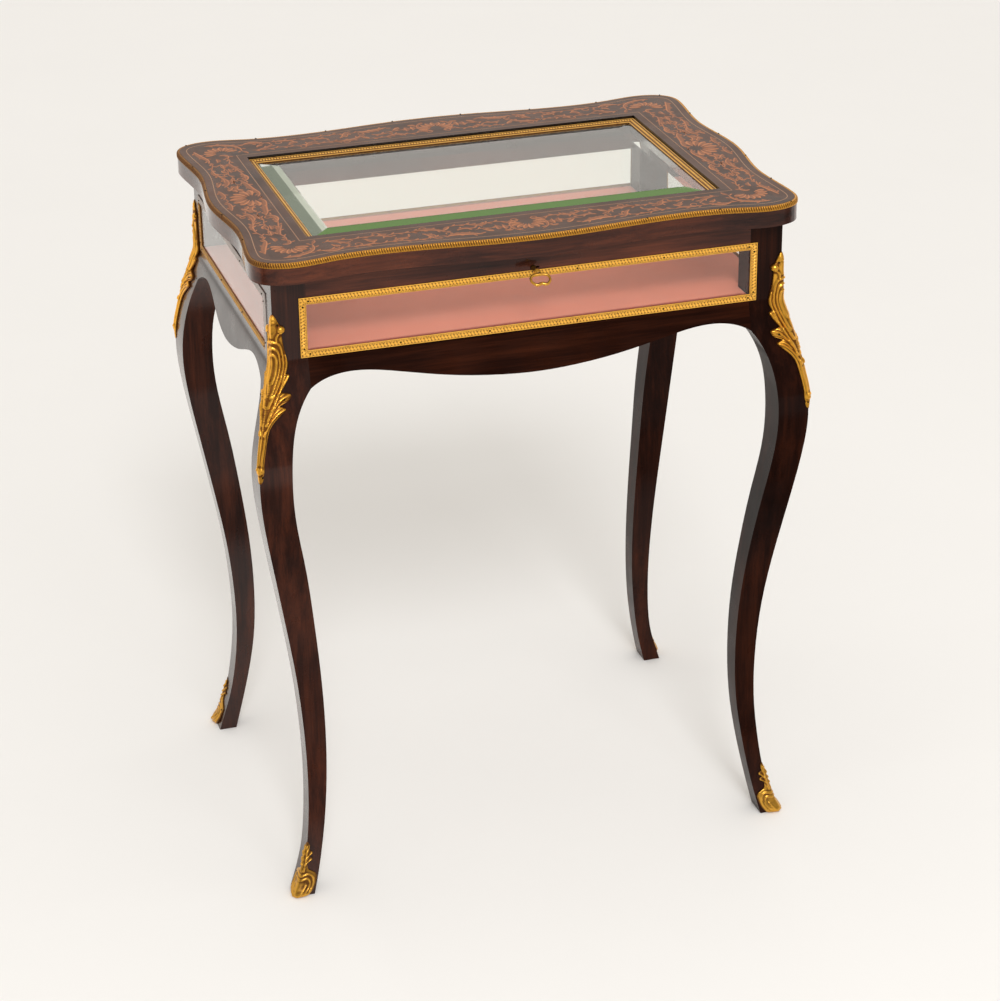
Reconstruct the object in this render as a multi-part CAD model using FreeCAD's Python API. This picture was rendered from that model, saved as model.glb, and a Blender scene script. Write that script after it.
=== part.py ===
import FreeCAD, Part

import math
import os

# A collectors display table: a glazed case on four cabriole legs, with a bevelled glass
# in a hinged, serpentine lid.  Millimetres, +Z up.  The origin lies on the floor, in the
# middle of the table; the front with its lock faces -Y, and +X is the right-hand side.

V = FreeCAD.Vector
UP = V(0, 0, 1)

# ---------------------------------------------------------------- driving dimensions
TABLE_HEIGHT = 760.0        # floor to the top of the lid
LEG_SWING = 40.0            # how far the legs curve in under the case
CASE_WIDTH = 571.0          # over the front corner posts
CASE_DEPTH = 381.0          # front face to back face

LID_THICKNESS = 24.0
LID_OVERHANG_ENDS = 21.5    # crown of the lid's side edges past the case
LID_OVERHANG_FRONT = 23.0   # crown of its front and back edges past the case
LID_RAIL_WIDTH_ENDS = 74.5  # crown of the side edge to the glass opening
LID_RAIL_WIDTH_FRONT = 75.5
LID_CASE_GAP = 0.5
LID_WAVE_ENDS = 9.0         # depth of the serpentine curve of the side edges
LID_WAVE_FRONT = 12.5       # and of the front and back edges
LID_CORNER_SIZE = 26.5

POST_WIDTH = 37.0           # corner post seen from the front
POST_DEPTH = 33.5           # corner post seen from the end
TOP_RAIL_HEIGHT = 30.5
TOP_RAIL_THICKNESS = 22.0
SIGHT_HEIGHT = 51.0         # glazed opening between top rail and apron
APRON_THICKNESS = 20.0
APRON_DEPTH_MIDDLE = 53.5   # below the glazed opening
APRON_DEPTH_CREST = 28.0
APRON_DEPTH_END = 40.5
APRON_CREST_FROM_POST = 43.0

PANE_THICKNESS = 3.0
PANE_LAP = 4.5              # glass hidden in the rebate on each side
BRASS_STRIP_WIDTH = 8.0
BRASS_STRIP_THICKNESS = 1.8

GLASS_THICKNESS = 5.5       # lid glass, in the middle
GLASS_EDGE_THICKNESS = 3.0
GLASS_BEVEL_WIDTH = 30.0
GLASS_TOP_DEPTH = 4.0       # top of the glass below the top of the lid
MOULDING_WIDTH = 9.5
MOULDING_DEPTH_OUTER = 2.5  # below the top of the lid, at the wood
MOULDING_EDGE_HEIGHT = 0.8  # above the glass, at the inner edge
MOULDING_CROWN = 0.7        # rise of its rounded top
EDGE_BAND_WIDTH = 3.5
EDGE_BAND_HEIGHT = 5.5
EDGE_BAND_PROUD = 0.8

BASE_THICKNESS = 8.0
BASE_FILLET = 10.0
LINING_THICKNESS = 3.7
LINING_DEPTH = 1.0          # lining's top below the glazed opening
LEDGE_OVER_PINS = 0.5       # wood between the pins of a frame's lower strip and the lining

TENON_THICKNESS = 8.0
TENON_LENGTH = 14.0
TENON_FACE_DISTANCE = 8.0   # tenon's outer cheek to the face of the case
TENON_SHOULDER = 5.0

KNEE_MOUNT_TOP = 37.0       # below the top of the case
KNEE_MOUNT_LENGTH = 178.5
KNEE_MOUNT_THICKNESS = 5.0
KNEE_MOUNT_WIDTH = 23.6     # from the leg's corner to the widest lobe, on each side
SABOT_HEIGHT = 63.0
SABOT_WIDTH = 18.5          # on each side of the leg's corner
SABOT_THICKNESS = 2.4
SABOT_TOE_HEIGHT = 16.0
SABOT_TOE_THICKNESS = 5.5

PIN_SHANK_RADIUS = 0.5
PIN_HEAD_RADIUS = 1.1
PIN_HEAD_HEIGHT = 0.6
PIN_LENGTH = 8.0
PIN_STAGGER = 3.0           # so that the pins of two faces pass each other
FRAME_PIN_SPACING = 97.0
FRAME_PIN_INSET = 6.0       # first pin from the corner of its frame
BAND_PIN_SPACING = 78.0

HINGE_FROM_END = 115.5      # end of the case to the middle of a hinge
HINGE_LENGTH = 42.0
HINGE_LEAF_WIDTH = 12.0
HINGE_LEAF_THICKNESS = 1.3
HINGE_KNUCKLE_RADIUS = 2.6
HINGE_PIN_RADIUS = 1.2
HINGE_SETBACK = 3.0         # pin's axis behind the back of the case
HINGE_KNUCKLES = 5

SCREW_RADIUS = 1.2
SCREW_HEAD_RADIUS = 2.4
SCREW_HEAD_HEIGHT = 1.2
SCREW_LENGTH = 10.0

LOCK_WIDTH = 50.0
LOCK_DEPTH = 12.0
LOCK_HEIGHT = 28.5
LOCK_WALL = 1.2
LOCK_CAP_THICKNESS = 1.0
SELVEDGE_WIDTH = 64.0
SELVEDGE_THICKNESS = 1.5
KEY_FROM_TOP = 20.0         # key's axis below the top of the case
BOLT_TRAVEL = 5.0
BOLT_THICKNESS = 2.8
BOLT_BAR_HEIGHT = 6.0
BOLT_FROM_KEY = 4.5         # lower edge of the bolt above the key's axis
BOLT_END = 22.0             # right end of the bolt from the middle of the lock
HOOK_CLEARANCE = 0.8        # round a hook in its link
LINK_FROM_CENTRE = 9.0
LINK_THICKNESS = 2.0
LINK_WIDTH = 7.0
LINK_DROP = 9.5
LINK_WINDOW = 4.4
LINK_RIM = 1.8              # metal under the window of a link
LINK_SCREW_FROM_END = 6.0
LINK_PLATE_LENGTH = 46.0
LINK_PLATE_WIDTH = 11.0
LINK_PLATE_THICKNESS = 1.5
GUIDE_PIN_RADIUS = 1.5
GUIDE_PIN_FROM_LINK = 4.0
DRILL_PIN_RADIUS = 1.2

KEY_STEM_RADIUS = 2.4
KEY_PIPE_RADIUS = 1.28
KEY_PIPE_DEPTH = 14.0
KEY_BIT_REACH = 6.5         # from the key's axis
KEY_BIT_LENGTH = 5.0
KEY_BIT_THICKNESS = 1.6
KEY_COLLAR_RADIUS = 3.7
KEY_COLLAR_LENGTH = 4.0
KEY_STEM_SHOWING = 18.0     # front of the case to the bow
KEY_BOW_WIDTH = 24.0
KEY_BOW_LENGTH = 17.5
KEY_BOW_RIM = 3.0
KEY_BOW_THICKNESS = 2.6
KEY_BOW_DROOP = 31.0        # degrees below the line of the stem

SEAT = 0.1                  # clearance of a glued or seated wooden part
RUNNING = 0.3               # clearance of loose, soft and moving parts
BORE = 0.05                 # clearance round pins, screws and spindles

# Leg outline: share of the leg's height, then how far the outer and the inner face stand
# outside the face of the case, as a share of the swing.  The leg is square in section, its
# faces parallel to the case, and it curves a little differently seen from the end.
LEG_FRONT_VIEW = [
    (0.000, 0.200, -0.325), (0.069, -0.138, -0.600), (0.138, -0.320, -0.802),
    (0.214, -0.403, -0.950), (0.306, -0.375, -0.997), (0.413, -0.215, -0.922),
    (0.520, 0.057, -0.750), (0.627, 0.358, -0.517), (0.719, 0.600, -0.275),
    (0.810, 0.662, -0.225), (0.902, 0.350, -0.550),
]
LEG_END_VIEW = [
    (0.000, 0.588, -0.125), (0.069, 0.395, -0.195), (0.138, 0.223, -0.385),
    (0.214, 0.013, -0.585), (0.306, -0.102, -0.722), (0.413, -0.082, -0.760),
    (0.520, 0.095, -0.630), (0.627, 0.375, -0.430), (0.719, 0.575, -0.292),
    (0.810, 0.650, -0.325), (0.902, 0.350, -0.525),
]
KNEE_FLARE = [(0.940, 0.185), (0.970, 0.055)]   # and none from the glass's frame upwards

# Outline of a mount on each side of the leg's corner, as shares of its length and width,
# from top to tail: finial, scroll, neck, leaf, two pointed lobes, tail and bud.
KNEE_MOUNT_OUTLINE = [
    (0.000, 0.064), (0.040, 0.254), (0.080, 0.508), (0.100, 0.508), (0.120, 0.377),
    (0.150, 0.301), (0.220, 0.449), (0.270, 0.551), (0.360, 0.720), (0.400, 0.775),
    (0.440, 0.627), (0.470, 0.466), (0.490, 1.000), (0.540, 0.657), (0.570, 0.843),
    (0.620, 0.432), (0.670, 0.212), (0.720, 0.153), (0.860, 0.127), (0.950, 0.178),
    (1.000, 0.076),
]
SABOT_OUTLINE = [
    (0.000, 0.081), (0.060, 0.243), (0.120, 0.378), (0.190, 0.432), (0.260, 0.297),
    (0.340, 0.270), (0.420, 0.432), (0.500, 0.811), (0.640, 1.000), (0.800, 1.000),
    (0.920, 0.865), (1.000, 0.676),
]
SABOT_TOE_OUTLINE = [
    (0.000, 0.162), (0.200, 0.541), (0.500, 0.811), (0.800, 0.865), (1.000, 0.703),
]

# Pins of the mounts: share of the mount's length, distance from the leg's corner, and on
# how many faces.
KNEE_PINS = [(0.06, 4.5, 1), (0.51, 15.0, 2), (0.95, 2.0, 1)]
SABOT_PINS = [(0.64, 12.0, 2)]

# Serpentine edge of the lid, from the middle of a side to the corner: share of the half
# length, and how far the edge lies inside its crown as a share of the wave.  The corner's
# points are measured from the two crowns, as shares of the corner's size.
LID_END_EDGE = [
    (0.000, 0.000), (0.225, 0.500), (0.426, 1.000), (0.622, 0.667), (0.795, 0.244),
]
LID_CORNER = [
    (0.128, 1.000), (0.362, 0.574), (0.811, 0.264),
]
LID_FRONT_EDGE = [
    (0.853, 0.192), (0.723, 0.696), (0.554, 1.000), (0.375, 0.736), (0.195, 0.232),
    (0.000, 0.000),
]

# ---------------------------------------------------------------- sizes that follow
HALF_WIDTH = CASE_WIDTH / 2
HALF_DEPTH = CASE_DEPTH / 2
CASE_TOP = TABLE_HEIGHT - LID_THICKNESS - LID_CASE_GAP
LID_BOTTOM = TABLE_HEIGHT - LID_THICKNESS
SIGHT_TOP = CASE_TOP - TOP_RAIL_HEIGHT
SIGHT_BOTTOM = SIGHT_TOP - SIGHT_HEIGHT
LEG_HEIGHT = SIGHT_BOTTOM
LEG_JOINT = SIGHT_BOTTOM - APRON_DEPTH_END
FLARE_TOP = SIGHT_BOTTOM - BRASS_STRIP_WIDTH
CREST_HEIGHT = SIGHT_BOTTOM - APRON_DEPTH_CREST
MIDDLE_HEIGHT = SIGHT_BOTTOM - APRON_DEPTH_MIDDLE
FRONT_SPAN = HALF_WIDTH - POST_WIDTH       # half the opening between the posts
END_SPAN = HALF_DEPTH - POST_DEPTH
PANE_BACK = PANE_THICKNESS + SEAT          # depth of the glazing rebate
LID_HALF_WIDTH = HALF_WIDTH + LID_OVERHANG_ENDS
LID_HALF_DEPTH = HALF_DEPTH + LID_OVERHANG_FRONT
OPEN_HALF_WIDTH = LID_HALF_WIDTH - LID_RAIL_WIDTH_ENDS
OPEN_HALF_DEPTH = LID_HALF_DEPTH - LID_RAIL_WIDTH_FRONT
GLASS_TOP = TABLE_HEIGHT - GLASS_TOP_DEPTH
GLASS_BOTTOM = GLASS_TOP - GLASS_THICKNESS
GLASS_EDGE_TOP = GLASS_BOTTOM + GLASS_EDGE_THICKNESS
BAND_BOTTOM = TABLE_HEIGHT - EDGE_BAND_HEIGHT
LINING_TOP = SIGHT_BOTTOM - LINING_DEPTH
BASE_TOP = LINING_TOP - LINING_THICKNESS - RUNNING
BASE_BOTTOM = BASE_TOP - BASE_THICKNESS
LEDGE_TOP = SIGHT_BOTTOM - BRASS_STRIP_WIDTH / 2 + PIN_SHANK_RADIUS + BORE + LEDGE_OVER_PINS
HINGE_AXIS_Y = HALF_DEPTH + HINGE_SETBACK
HINGE_AXIS_Z = CASE_TOP + LID_CASE_GAP / 2
KEY_AXIS_Z = CASE_TOP - KEY_FROM_TOP
LOCK_INNER_FACE = -(HALF_DEPTH - TOP_RAIL_THICKNESS)
LOCK_OUTER_FACE = LOCK_INNER_FACE - LOCK_DEPTH
LOCK_CAVITY_TOP = CASE_TOP - SELVEDGE_THICKNESS
BOLT_MIDDLE_Y = LOCK_INNER_FACE - LOCK_DEPTH / 2
LINK_MIDDLE_Z = LID_BOTTOM - LINK_DROP + LINK_WINDOW / 2 + LINK_RIM

SIDES = {
    "back": (0, FRONT_SPAN, HALF_DEPTH, LEG_END_VIEW),
    "right": (-90, END_SPAN, HALF_WIDTH, LEG_FRONT_VIEW),
    "front": (180, FRONT_SPAN, HALF_DEPTH, LEG_END_VIEW),
    "left": (90, END_SPAN, HALF_WIDTH, LEG_FRONT_VIEW),
}
CORNERS = {
    "back_right": (False, False), "back_left": (True, False),
    "front_right": (False, True), "front_left": (True, True),
}


# ---------------------------------------------------------------- small helpers
def block(x0, x1, y0, y1, z0, z1):
    """Box between two corners."""
    return Part.makeBox(x1 - x0, y1 - y0, z1 - z0, V(x0, y0, z0))


def cylinder(radius, start, end):
    """Round bar from one point to another."""
    return Part.makeCylinder(radius, (end - start).Length, start, end - start)


def polygon_face(points):
    """Flat face with straight edges through the points."""
    return Part.Face(Part.makePolygon(list(points) + [points[0]]))


def spline(points):
    """Smooth curve through the points."""
    curve = Part.BSplineCurve()
    curve.interpolate(points)
    return curve.toShape()


def upright_spline(points):
    """Smooth curve through the points that ends upright."""
    curve = Part.BSplineCurve()
    curve.interpolate(Points=points, InitialTangent=points[1] - points[0], FinalTangent=UP)
    return curve.toShape()


def prism_xy(points, z0, z1):
    """Upright prism on a flat outline of (x, y) points."""
    return polygon_face([V(x, y, z0) for x, y in points]).extrude(UP * (z1 - z0))


def on_side(shape, side):
    """Turn a piece made for the back of the case round to another side."""
    placed = shape.copy()
    placed.rotate(V(0, 0, 0), UP, SIDES[side][0])
    return placed


def at_corner(shape, corner):
    """Mirror a piece made for the back right corner to another corner."""
    flip_x, flip_y = CORNERS[corner]
    placed = shape.copy()
    if flip_x:
        placed = placed.mirror(V(0, 0, 0), V(1, 0, 0))
    if flip_y:
        placed = placed.mirror(V(0, 0, 0), V(0, 1, 0))
    return placed


def spread(first, last, spacing):
    """Evenly spaced places from first to last, about one spacing apart."""
    count = max(1, round((last - first) / spacing))
    return [first + (last - first) * i / count for i in range(count + 1)]


def screw(head, direction):
    """Countersunk screw with its flat head at a point, driven along a direction."""
    cone = Part.makeCone(SCREW_HEAD_RADIUS, SCREW_RADIUS, SCREW_HEAD_HEIGHT, head, direction)
    shank = cylinder(SCREW_RADIUS, head + direction * SCREW_HEAD_HEIGHT / 2,
                     head + direction * SCREW_LENGTH)
    return cone.fuse(shank).removeSplitter()


def screw_hole(head, direction):
    """Countersink and pilot hole for one screw."""
    cone = Part.makeCone(SCREW_HEAD_RADIUS + BORE, SCREW_RADIUS + BORE, SCREW_HEAD_HEIGHT,
                         head, direction)
    hole = cylinder(SCREW_RADIUS + BORE, head, head + direction * (SCREW_LENGTH + BORE))
    return cone.fuse(hole)


def pin(seat, direction):
    """Round-headed brass pin: its head rests on a point and its shank goes along a direction."""
    head = Part.makeCone(PIN_HEAD_RADIUS, PIN_SHANK_RADIUS, PIN_HEAD_HEIGHT, seat, -direction)
    return head.fuse(cylinder(PIN_SHANK_RADIUS, seat, seat + direction * PIN_LENGTH))


def pin_hole(seat, direction):
    """Hole for the shank of one pin."""
    start = seat - direction * PIN_HEAD_HEIGHT
    return cylinder(PIN_SHANK_RADIUS + BORE, start, seat + direction * (PIN_LENGTH + BORE))


# ---------------------------------------------------------------- legs and case
def leg_height(share):
    return share * LEG_HEIGHT


def outer_points(view, face, proud=0.0):
    """Outer face of a leg up to the flat of the case, as (distance from the middle, height)."""
    offsets = [(share, outer) for share, outer, _ in view] + KNEE_FLARE
    points = [(face + outer * LEG_SWING + proud, leg_height(share)) for share, outer in offsets]
    return points + [(face + proud, FLARE_TOP)]


def inner_points(view, face, post):
    """Inner face of a leg, from the floor to where the apron's lower edge meets the post."""
    points = [(face + inner * LEG_SWING, leg_height(share)) for share, _, inner in view]
    return points + [(face - post, LEG_JOINT)]


def side_face(outer, inner, to_point):
    """Face between the outer curve, drawn on up to the top of the case, and an inner line."""
    top_outer = to_point(outer[-1][0], CASE_TOP)
    outer_edge = upright_spline([to_point(*p) for p in outer])
    inner_ends = [to_point(*inner[0]), to_point(*inner[-1])]
    inner_edge = Part.makeLine(*inner_ends) if len(inner) == 2 else \
        spline([to_point(*p) for p in inner])
    corner = to_point(inner[-1][0], CASE_TOP)
    edges = [outer_edge, Part.makeLine(to_point(*outer[-1]), top_outer),
             Part.makeLine(top_outer, corner), inner_edge,
             Part.makeLine(inner_ends[0], to_point(*outer[0]))]
    if (corner - inner_ends[1]).Length > RUNNING:
        edges.append(Part.makeLine(corner, inner_ends[1]))
    return Part.Face(Part.Wire(Part.__sortEdges__(edges)))


def in_front_view(distance, height):
    return V(distance, 0, height)


def in_end_view(distance, height):
    return V(0, distance, height)


def plain_leg(proud=0.0):
    """Back right leg with its post: the solid common to its front and its end view."""
    front = side_face(outer_points(LEG_FRONT_VIEW, HALF_WIDTH, proud),
                      inner_points(LEG_FRONT_VIEW, HALF_WIDTH, POST_WIDTH), in_front_view)
    end = side_face(outer_points(LEG_END_VIEW, HALF_DEPTH, proud),
                    inner_points(LEG_END_VIEW, HALF_DEPTH, POST_DEPTH), in_end_view)
    reach = CASE_WIDTH + CASE_DEPTH
    return front.extrude(V(0, reach, 0)).common(end.extrude(V(reach, 0, 0)))


def pane_pocket(span, face):
    """Rebate that takes the pane, as a cut through posts, rail and apron."""
    lap = PANE_LAP + SEAT
    return block(-span - lap, span + lap, face - PANE_BACK, face + PANE_THICKNESS,
                 SIGHT_BOTTOM - lap, SIGHT_TOP + lap)


def tenon_heights():
    """Lower and upper edge of the apron's and of the top rail's tenons."""
    apron = (LEG_JOINT + TENON_SHOULDER, SIGHT_BOTTOM - PANE_LAP - TENON_SHOULDER)
    rail = (SIGHT_TOP + PANE_LAP + TENON_SHOULDER / 2, CASE_TOP - TENON_SHOULDER)
    return apron, rail


def tenons(span, face, heights, clearance=0.0):
    """Pair of tenons at the ends of a rail; with a clearance, their mortises."""
    outer = face - TENON_FACE_DISTANCE + clearance
    inner = face - TENON_FACE_DISTANCE - TENON_THICKNESS - clearance
    reach = span + TENON_LENGTH + clearance
    both = block(-reach, reach, inner, outer, heights[0] - clearance, heights[1] + clearance)
    return both.cut(block(-span, span, inner - 1, outer + 1, heights[0] - 1, heights[1] + 1))


def frame_pin_seats(span, face):
    """Seats of the pins along the four strips of one brass frame."""
    y = face + BRASS_STRIP_THICKNESS
    middle = BRASS_STRIP_WIDTH / 2
    across = span + middle
    low, high = SIGHT_BOTTOM - middle, SIGHT_TOP + middle
    reach = span + BRASS_STRIP_WIDTH - FRAME_PIN_INSET - middle
    seats = [V(x, y, z) for z in (low, high) for x in spread(-reach, reach, FRAME_PIN_SPACING)]
    for x in (-across, across):
        seats += [V(x, y, low + FRAME_PIN_INSET), V(x, y, high - FRAME_PIN_INSET)]
    return seats


def frame_pin_holes(side):
    """All pin holes of one brass frame, where they lie in the case."""
    _, span, face, _ = SIDES[side]
    holes = [pin_hole(seat, V(0, -1, 0)) for seat in frame_pin_seats(span, face)]
    return [on_side(hole, side) for hole in holes]


def corner_holes(corner):
    """Holes for the pins of both mounts on one leg."""
    return [at_corner(pin_hole(seat, direction), corner) for seat, direction in mount_pin_seats()]


def leg(corner):
    """Cabriole leg and corner post in one piece, mortised, rebated and bored."""
    shape = at_corner(plain_leg(), corner)
    cuts = corner_holes(corner)
    apron_tenon, rail_tenon = tenon_heights()
    for side in corner.split("_"):
        _, span, face, _ = SIDES[side]
        cuts.append(on_side(pane_pocket(span, face), side))
        for heights in (apron_tenon, rail_tenon):
            cuts.append(on_side(tenons(span, face, heights, SEAT), side))
        cuts += frame_pin_holes(side)
    return shape.cut(cuts)


def top_rail(side):
    """Rail over the glass, tenoned into two posts."""
    _, span, face, _ = SIDES[side]
    body = block(-span, span, face - TOP_RAIL_THICKNESS, face, SIGHT_TOP, CASE_TOP)
    body = body.fuse(tenons(span, face, tenon_heights()[1]))
    body = on_side(body.cut(pane_pocket(span, face)), side)
    cuts = frame_pin_holes(side)
    if side == "front":
        cuts += lock_pockets()
    if side == "back":
        cuts += case_hinge_pockets()
    return body.cut(cuts).removeSplitter()


def apron_edge(span):
    """Lower edge of an apron in half its length, as (distance from the middle, height)."""
    crest = span - APRON_CREST_FROM_POST
    rise = CREST_HEIGHT - MIDDLE_HEIGHT
    swell = [(0.00, 0.00), (0.25, 0.10), (0.50, 0.36), (0.75, 0.76), (1.00, 1.00)]
    fall = CREST_HEIGHT - LEG_JOINT
    points = [(crest * t, MIDDLE_HEIGHT + rise * h) for t, h in swell]
    shoulder = crest + 0.55 * APRON_CREST_FROM_POST
    return points + [(shoulder, CREST_HEIGHT - 0.28 * fall), (span, LEG_JOINT)]


def apron(side):
    """Shaped apron under the glass: its face flares with the knees beside it.  Behind the pane
    it has a ledge for the lining, which clears the pins of the brass frame."""
    _, span, face, view = SIDES[side]
    inner = face - APRON_THICKNESS
    section = side_face(outer_points(view, face), [(inner, 0.0), (inner, CASE_TOP)], in_end_view)
    section.translate(V(-span, 0, 0))
    half = apron_edge(span)
    edge = spline([V(-x, 0, z) for x, z in reversed(half[1:])] + [V(x, 0, z) for x, z in half])
    corners = [V(span, 0, LEG_JOINT), V(span, 0, SIGHT_BOTTOM), V(-span, 0, SIGHT_BOTTOM),
               V(-span, 0, LEG_JOINT)]
    outline = Part.Face(Part.Wire([edge] + Part.makePolygon(corners).Edges))
    body = section.extrude(V(2 * span, 0, 0)).common(outline.extrude(V(0, CASE_WIDTH, 0)))
    ledge = block(-span, span, inner - 1, face - PANE_THICKNESS, LEDGE_TOP, SIGHT_BOTTOM + 1)
    body = body.fuse(tenons(span, face, tenon_heights()[0]))
    body = body.cut([pane_pocket(span, face), ledge])
    return on_side(body, side).cut(frame_pin_holes(side)).removeSplitter()


def pane(side):
    """Flat glass in the rebate, flush with the face of the case."""
    _, span, face, _ = SIDES[side]
    glass = block(-span - PANE_LAP, span + PANE_LAP, face - PANE_THICKNESS, face,
                  SIGHT_BOTTOM - PANE_LAP, SIGHT_TOP + PANE_LAP)
    corners = [pin_hole(seat, V(0, -1, 0)) for seat in frame_pin_seats(span, face)]
    return on_side(glass.cut(corners), side)


def brass_frame(side):
    """Four mitred brass strips pinned over the edge of the pane."""
    _, span, face, _ = SIDES[side]
    width = BRASS_STRIP_WIDTH
    inner = [(-span, SIGHT_BOTTOM), (span, SIGHT_BOTTOM), (span, SIGHT_TOP), (-span, SIGHT_TOP)]
    outer = [(x + math.copysign(width, x), z + (width if z == SIGHT_TOP else -width))
             for x, z in inner]
    strips = []
    for i in range(4):
        j = (i + 1) % 4
        corners = [outer[i], outer[j], inner[j], inner[i]]
        flat = polygon_face([V(x, face, z) for x, z in corners])
        strips.append(flat.extrude(V(0, BRASS_STRIP_THICKNESS, 0)))
    holes = [pin_hole(seat, V(0, -1, 0)) for seat in frame_pin_seats(span, face)]
    return on_side(Part.makeCompound([strip.cut(holes) for strip in strips]), side)


def frame_pins():
    """Every pin of the four brass frames."""
    pins = []
    for side, (_, span, face, _) in SIDES.items():
        pins += [on_side(pin(seat, V(0, -1, 0)), side) for seat in frame_pin_seats(span, face)]
    return Part.makeCompound(pins)


# ---------------------------------------------------------------- floor of the case
def floor_outline(gap, z0, z1):
    """Slab between the aprons, notched round the four posts."""
    x = HALF_WIDTH - APRON_THICKNESS - gap
    y = HALF_DEPTH - APRON_THICKNESS - gap
    slab = block(-x, x, -y, y, z0, z1)
    notch = block(FRONT_SPAN - gap, HALF_WIDTH, END_SPAN - gap, HALF_DEPTH, z0 - 1, z1 + 1)
    return slab.cut([at_corner(notch, corner) for corner in CORNERS])


def base_board():
    return floor_outline(RUNNING, BASE_BOTTOM, BASE_TOP)


def base_lining():
    """Fabric-covered pad on the base board.  Its edges lap over the ledges behind the panes."""
    gap = 2 * RUNNING
    x, y = HALF_WIDTH - PANE_BACK - RUNNING, HALF_DEPTH - PANE_BACK - RUNNING
    lap = LEDGE_TOP + RUNNING
    along = block(-x, x, gap - END_SPAN, END_SPAN - gap, lap, LINING_TOP)
    across = block(gap - FRONT_SPAN, FRONT_SPAN - gap, -y, y, lap, LINING_TOP)
    pad = floor_outline(gap, BASE_TOP + RUNNING, LINING_TOP)
    return pad.fuse([along, across]).removeSplitter()


def base_fillets():
    """Four strips glued inside the aprons, under the base board."""
    strips = []
    for side, (_, span, face, _) in SIDES.items():
        wall = face - APRON_THICKNESS
        reach = span - BASE_FILLET
        strips.append(on_side(block(-reach, reach, wall - BASE_FILLET, wall,
                                    BASE_BOTTOM - BASE_FILLET, BASE_BOTTOM), side))
    return Part.makeCompound(strips)


# ---------------------------------------------------------------- gilt mounts
def mount_strip(outline, top, thickness, view, face, to_point):
    """Outline of a mount along the outer curve of a leg, in one view, as a flat face."""
    outer = upright_spline([to_point(*p) for p in outer_points(view, face, thickness)])
    edge = []
    for down, width in outline:
        height = top - down
        line = Part.makeLine(to_point(0, height), to_point(2 * face, height))
        hit = outer.distToShape(line)[1][0][0]
        edge.append((max(hit.x, hit.y) - thickness - width, height))
    far = 2 * face
    points = [to_point(*p) for p in edge]
    return polygon_face(points + [to_point(far, edge[-1][1]), to_point(far, edge[0][1])])


def corner_mount(shares, top, length, width, thickness):
    """Shell on the outer corner of the back right leg, with the mount's outline on both faces."""
    outline = [(down * length, across * width) for down, across in shares]
    front = mount_strip(outline, top, thickness, LEG_FRONT_VIEW, HALF_WIDTH, in_front_view)
    end = mount_strip(outline, top, thickness, LEG_END_VIEW, HALF_DEPTH, in_end_view)
    reach = CASE_WIDTH + CASE_DEPTH
    shape = front.extrude(V(0, reach, 0)).common(end.extrude(V(reach, 0, 0)))
    return shape.common(plain_leg(thickness)).cut(plain_leg())


def knee_mount_shape():
    return corner_mount(KNEE_MOUNT_OUTLINE, CASE_TOP - KNEE_MOUNT_TOP, KNEE_MOUNT_LENGTH,
                        KNEE_MOUNT_WIDTH, KNEE_MOUNT_THICKNESS)


def sabot_shape():
    """Cast shoe on the corner of the foot, thicker at its toe."""
    shell = corner_mount(SABOT_OUTLINE, SABOT_HEIGHT, SABOT_HEIGHT, SABOT_WIDTH, SABOT_THICKNESS)
    toe = corner_mount(SABOT_TOE_OUTLINE, SABOT_TOE_HEIGHT, SABOT_TOE_HEIGHT, SABOT_WIDTH,
                       SABOT_TOE_THICKNESS)
    floor = block(0, CASE_WIDTH, 0, CASE_DEPTH, -SABOT_HEIGHT, RUNNING)
    return shell.fuse(toe).cut(floor).removeSplitter()


def surface_seat(view, face, height, thickness):
    """Point on a mount at one height and the inward direction, in the plane of its view."""
    points = outer_points(view, face, thickness)
    curve = upright_spline([V(distance, 0, z) for distance, z in points])
    line = Part.makeLine(V(0, 0, height), V(2 * face, 0, height))
    point = curve.distToShape(line)[1][0][0]
    rise = UP
    if height < FLARE_TOP:
        rise = curve.tangentAt(curve.Curve.parameter(point))
    return V(point.x, 0, height), V(-rise.z, 0, rise.x)


def mount_pin_seats():
    """Seats and directions of the pins of the knee mount and the sabot on one leg."""
    seats = []
    for height, inset, thickness, faces in mount_pin_places():
        to_x, into_x = surface_seat(LEG_FRONT_VIEW, HALF_WIDTH, height, thickness)
        to_y, into_y = surface_seat(LEG_END_VIEW, HALF_DEPTH, height, thickness)
        x, y = to_x.x - thickness - inset, to_y.x - thickness - inset
        seats.append((V(x, to_y.x, height), V(0, into_y.x, into_y.z)))
        if faces == 2:
            seats.append((V(to_x.x, y - PIN_STAGGER, height), into_x))
    return seats


def mount_pin_places():
    """Height, distance from the corner, thickness of the mount, and number of faces pinned."""
    top = CASE_TOP - KNEE_MOUNT_TOP
    knee = [(top - share * KNEE_MOUNT_LENGTH, inset, KNEE_MOUNT_THICKNESS, faces)
            for share, inset, faces in KNEE_PINS]
    return knee + [(SABOT_HEIGHT * (1 - share), inset, SABOT_THICKNESS, faces)
                   for share, inset, faces in SABOT_PINS]


def mount_pins():
    """Pins of the four knee mounts and the four sabots."""
    return Part.makeCompound([at_corner(pin(seat, direction), corner)
                              for corner in CORNERS for seat, direction in mount_pin_seats()])


def bored_mount(shape, corner):
    return at_corner(shape, corner).cut(corner_holes(corner))


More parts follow.
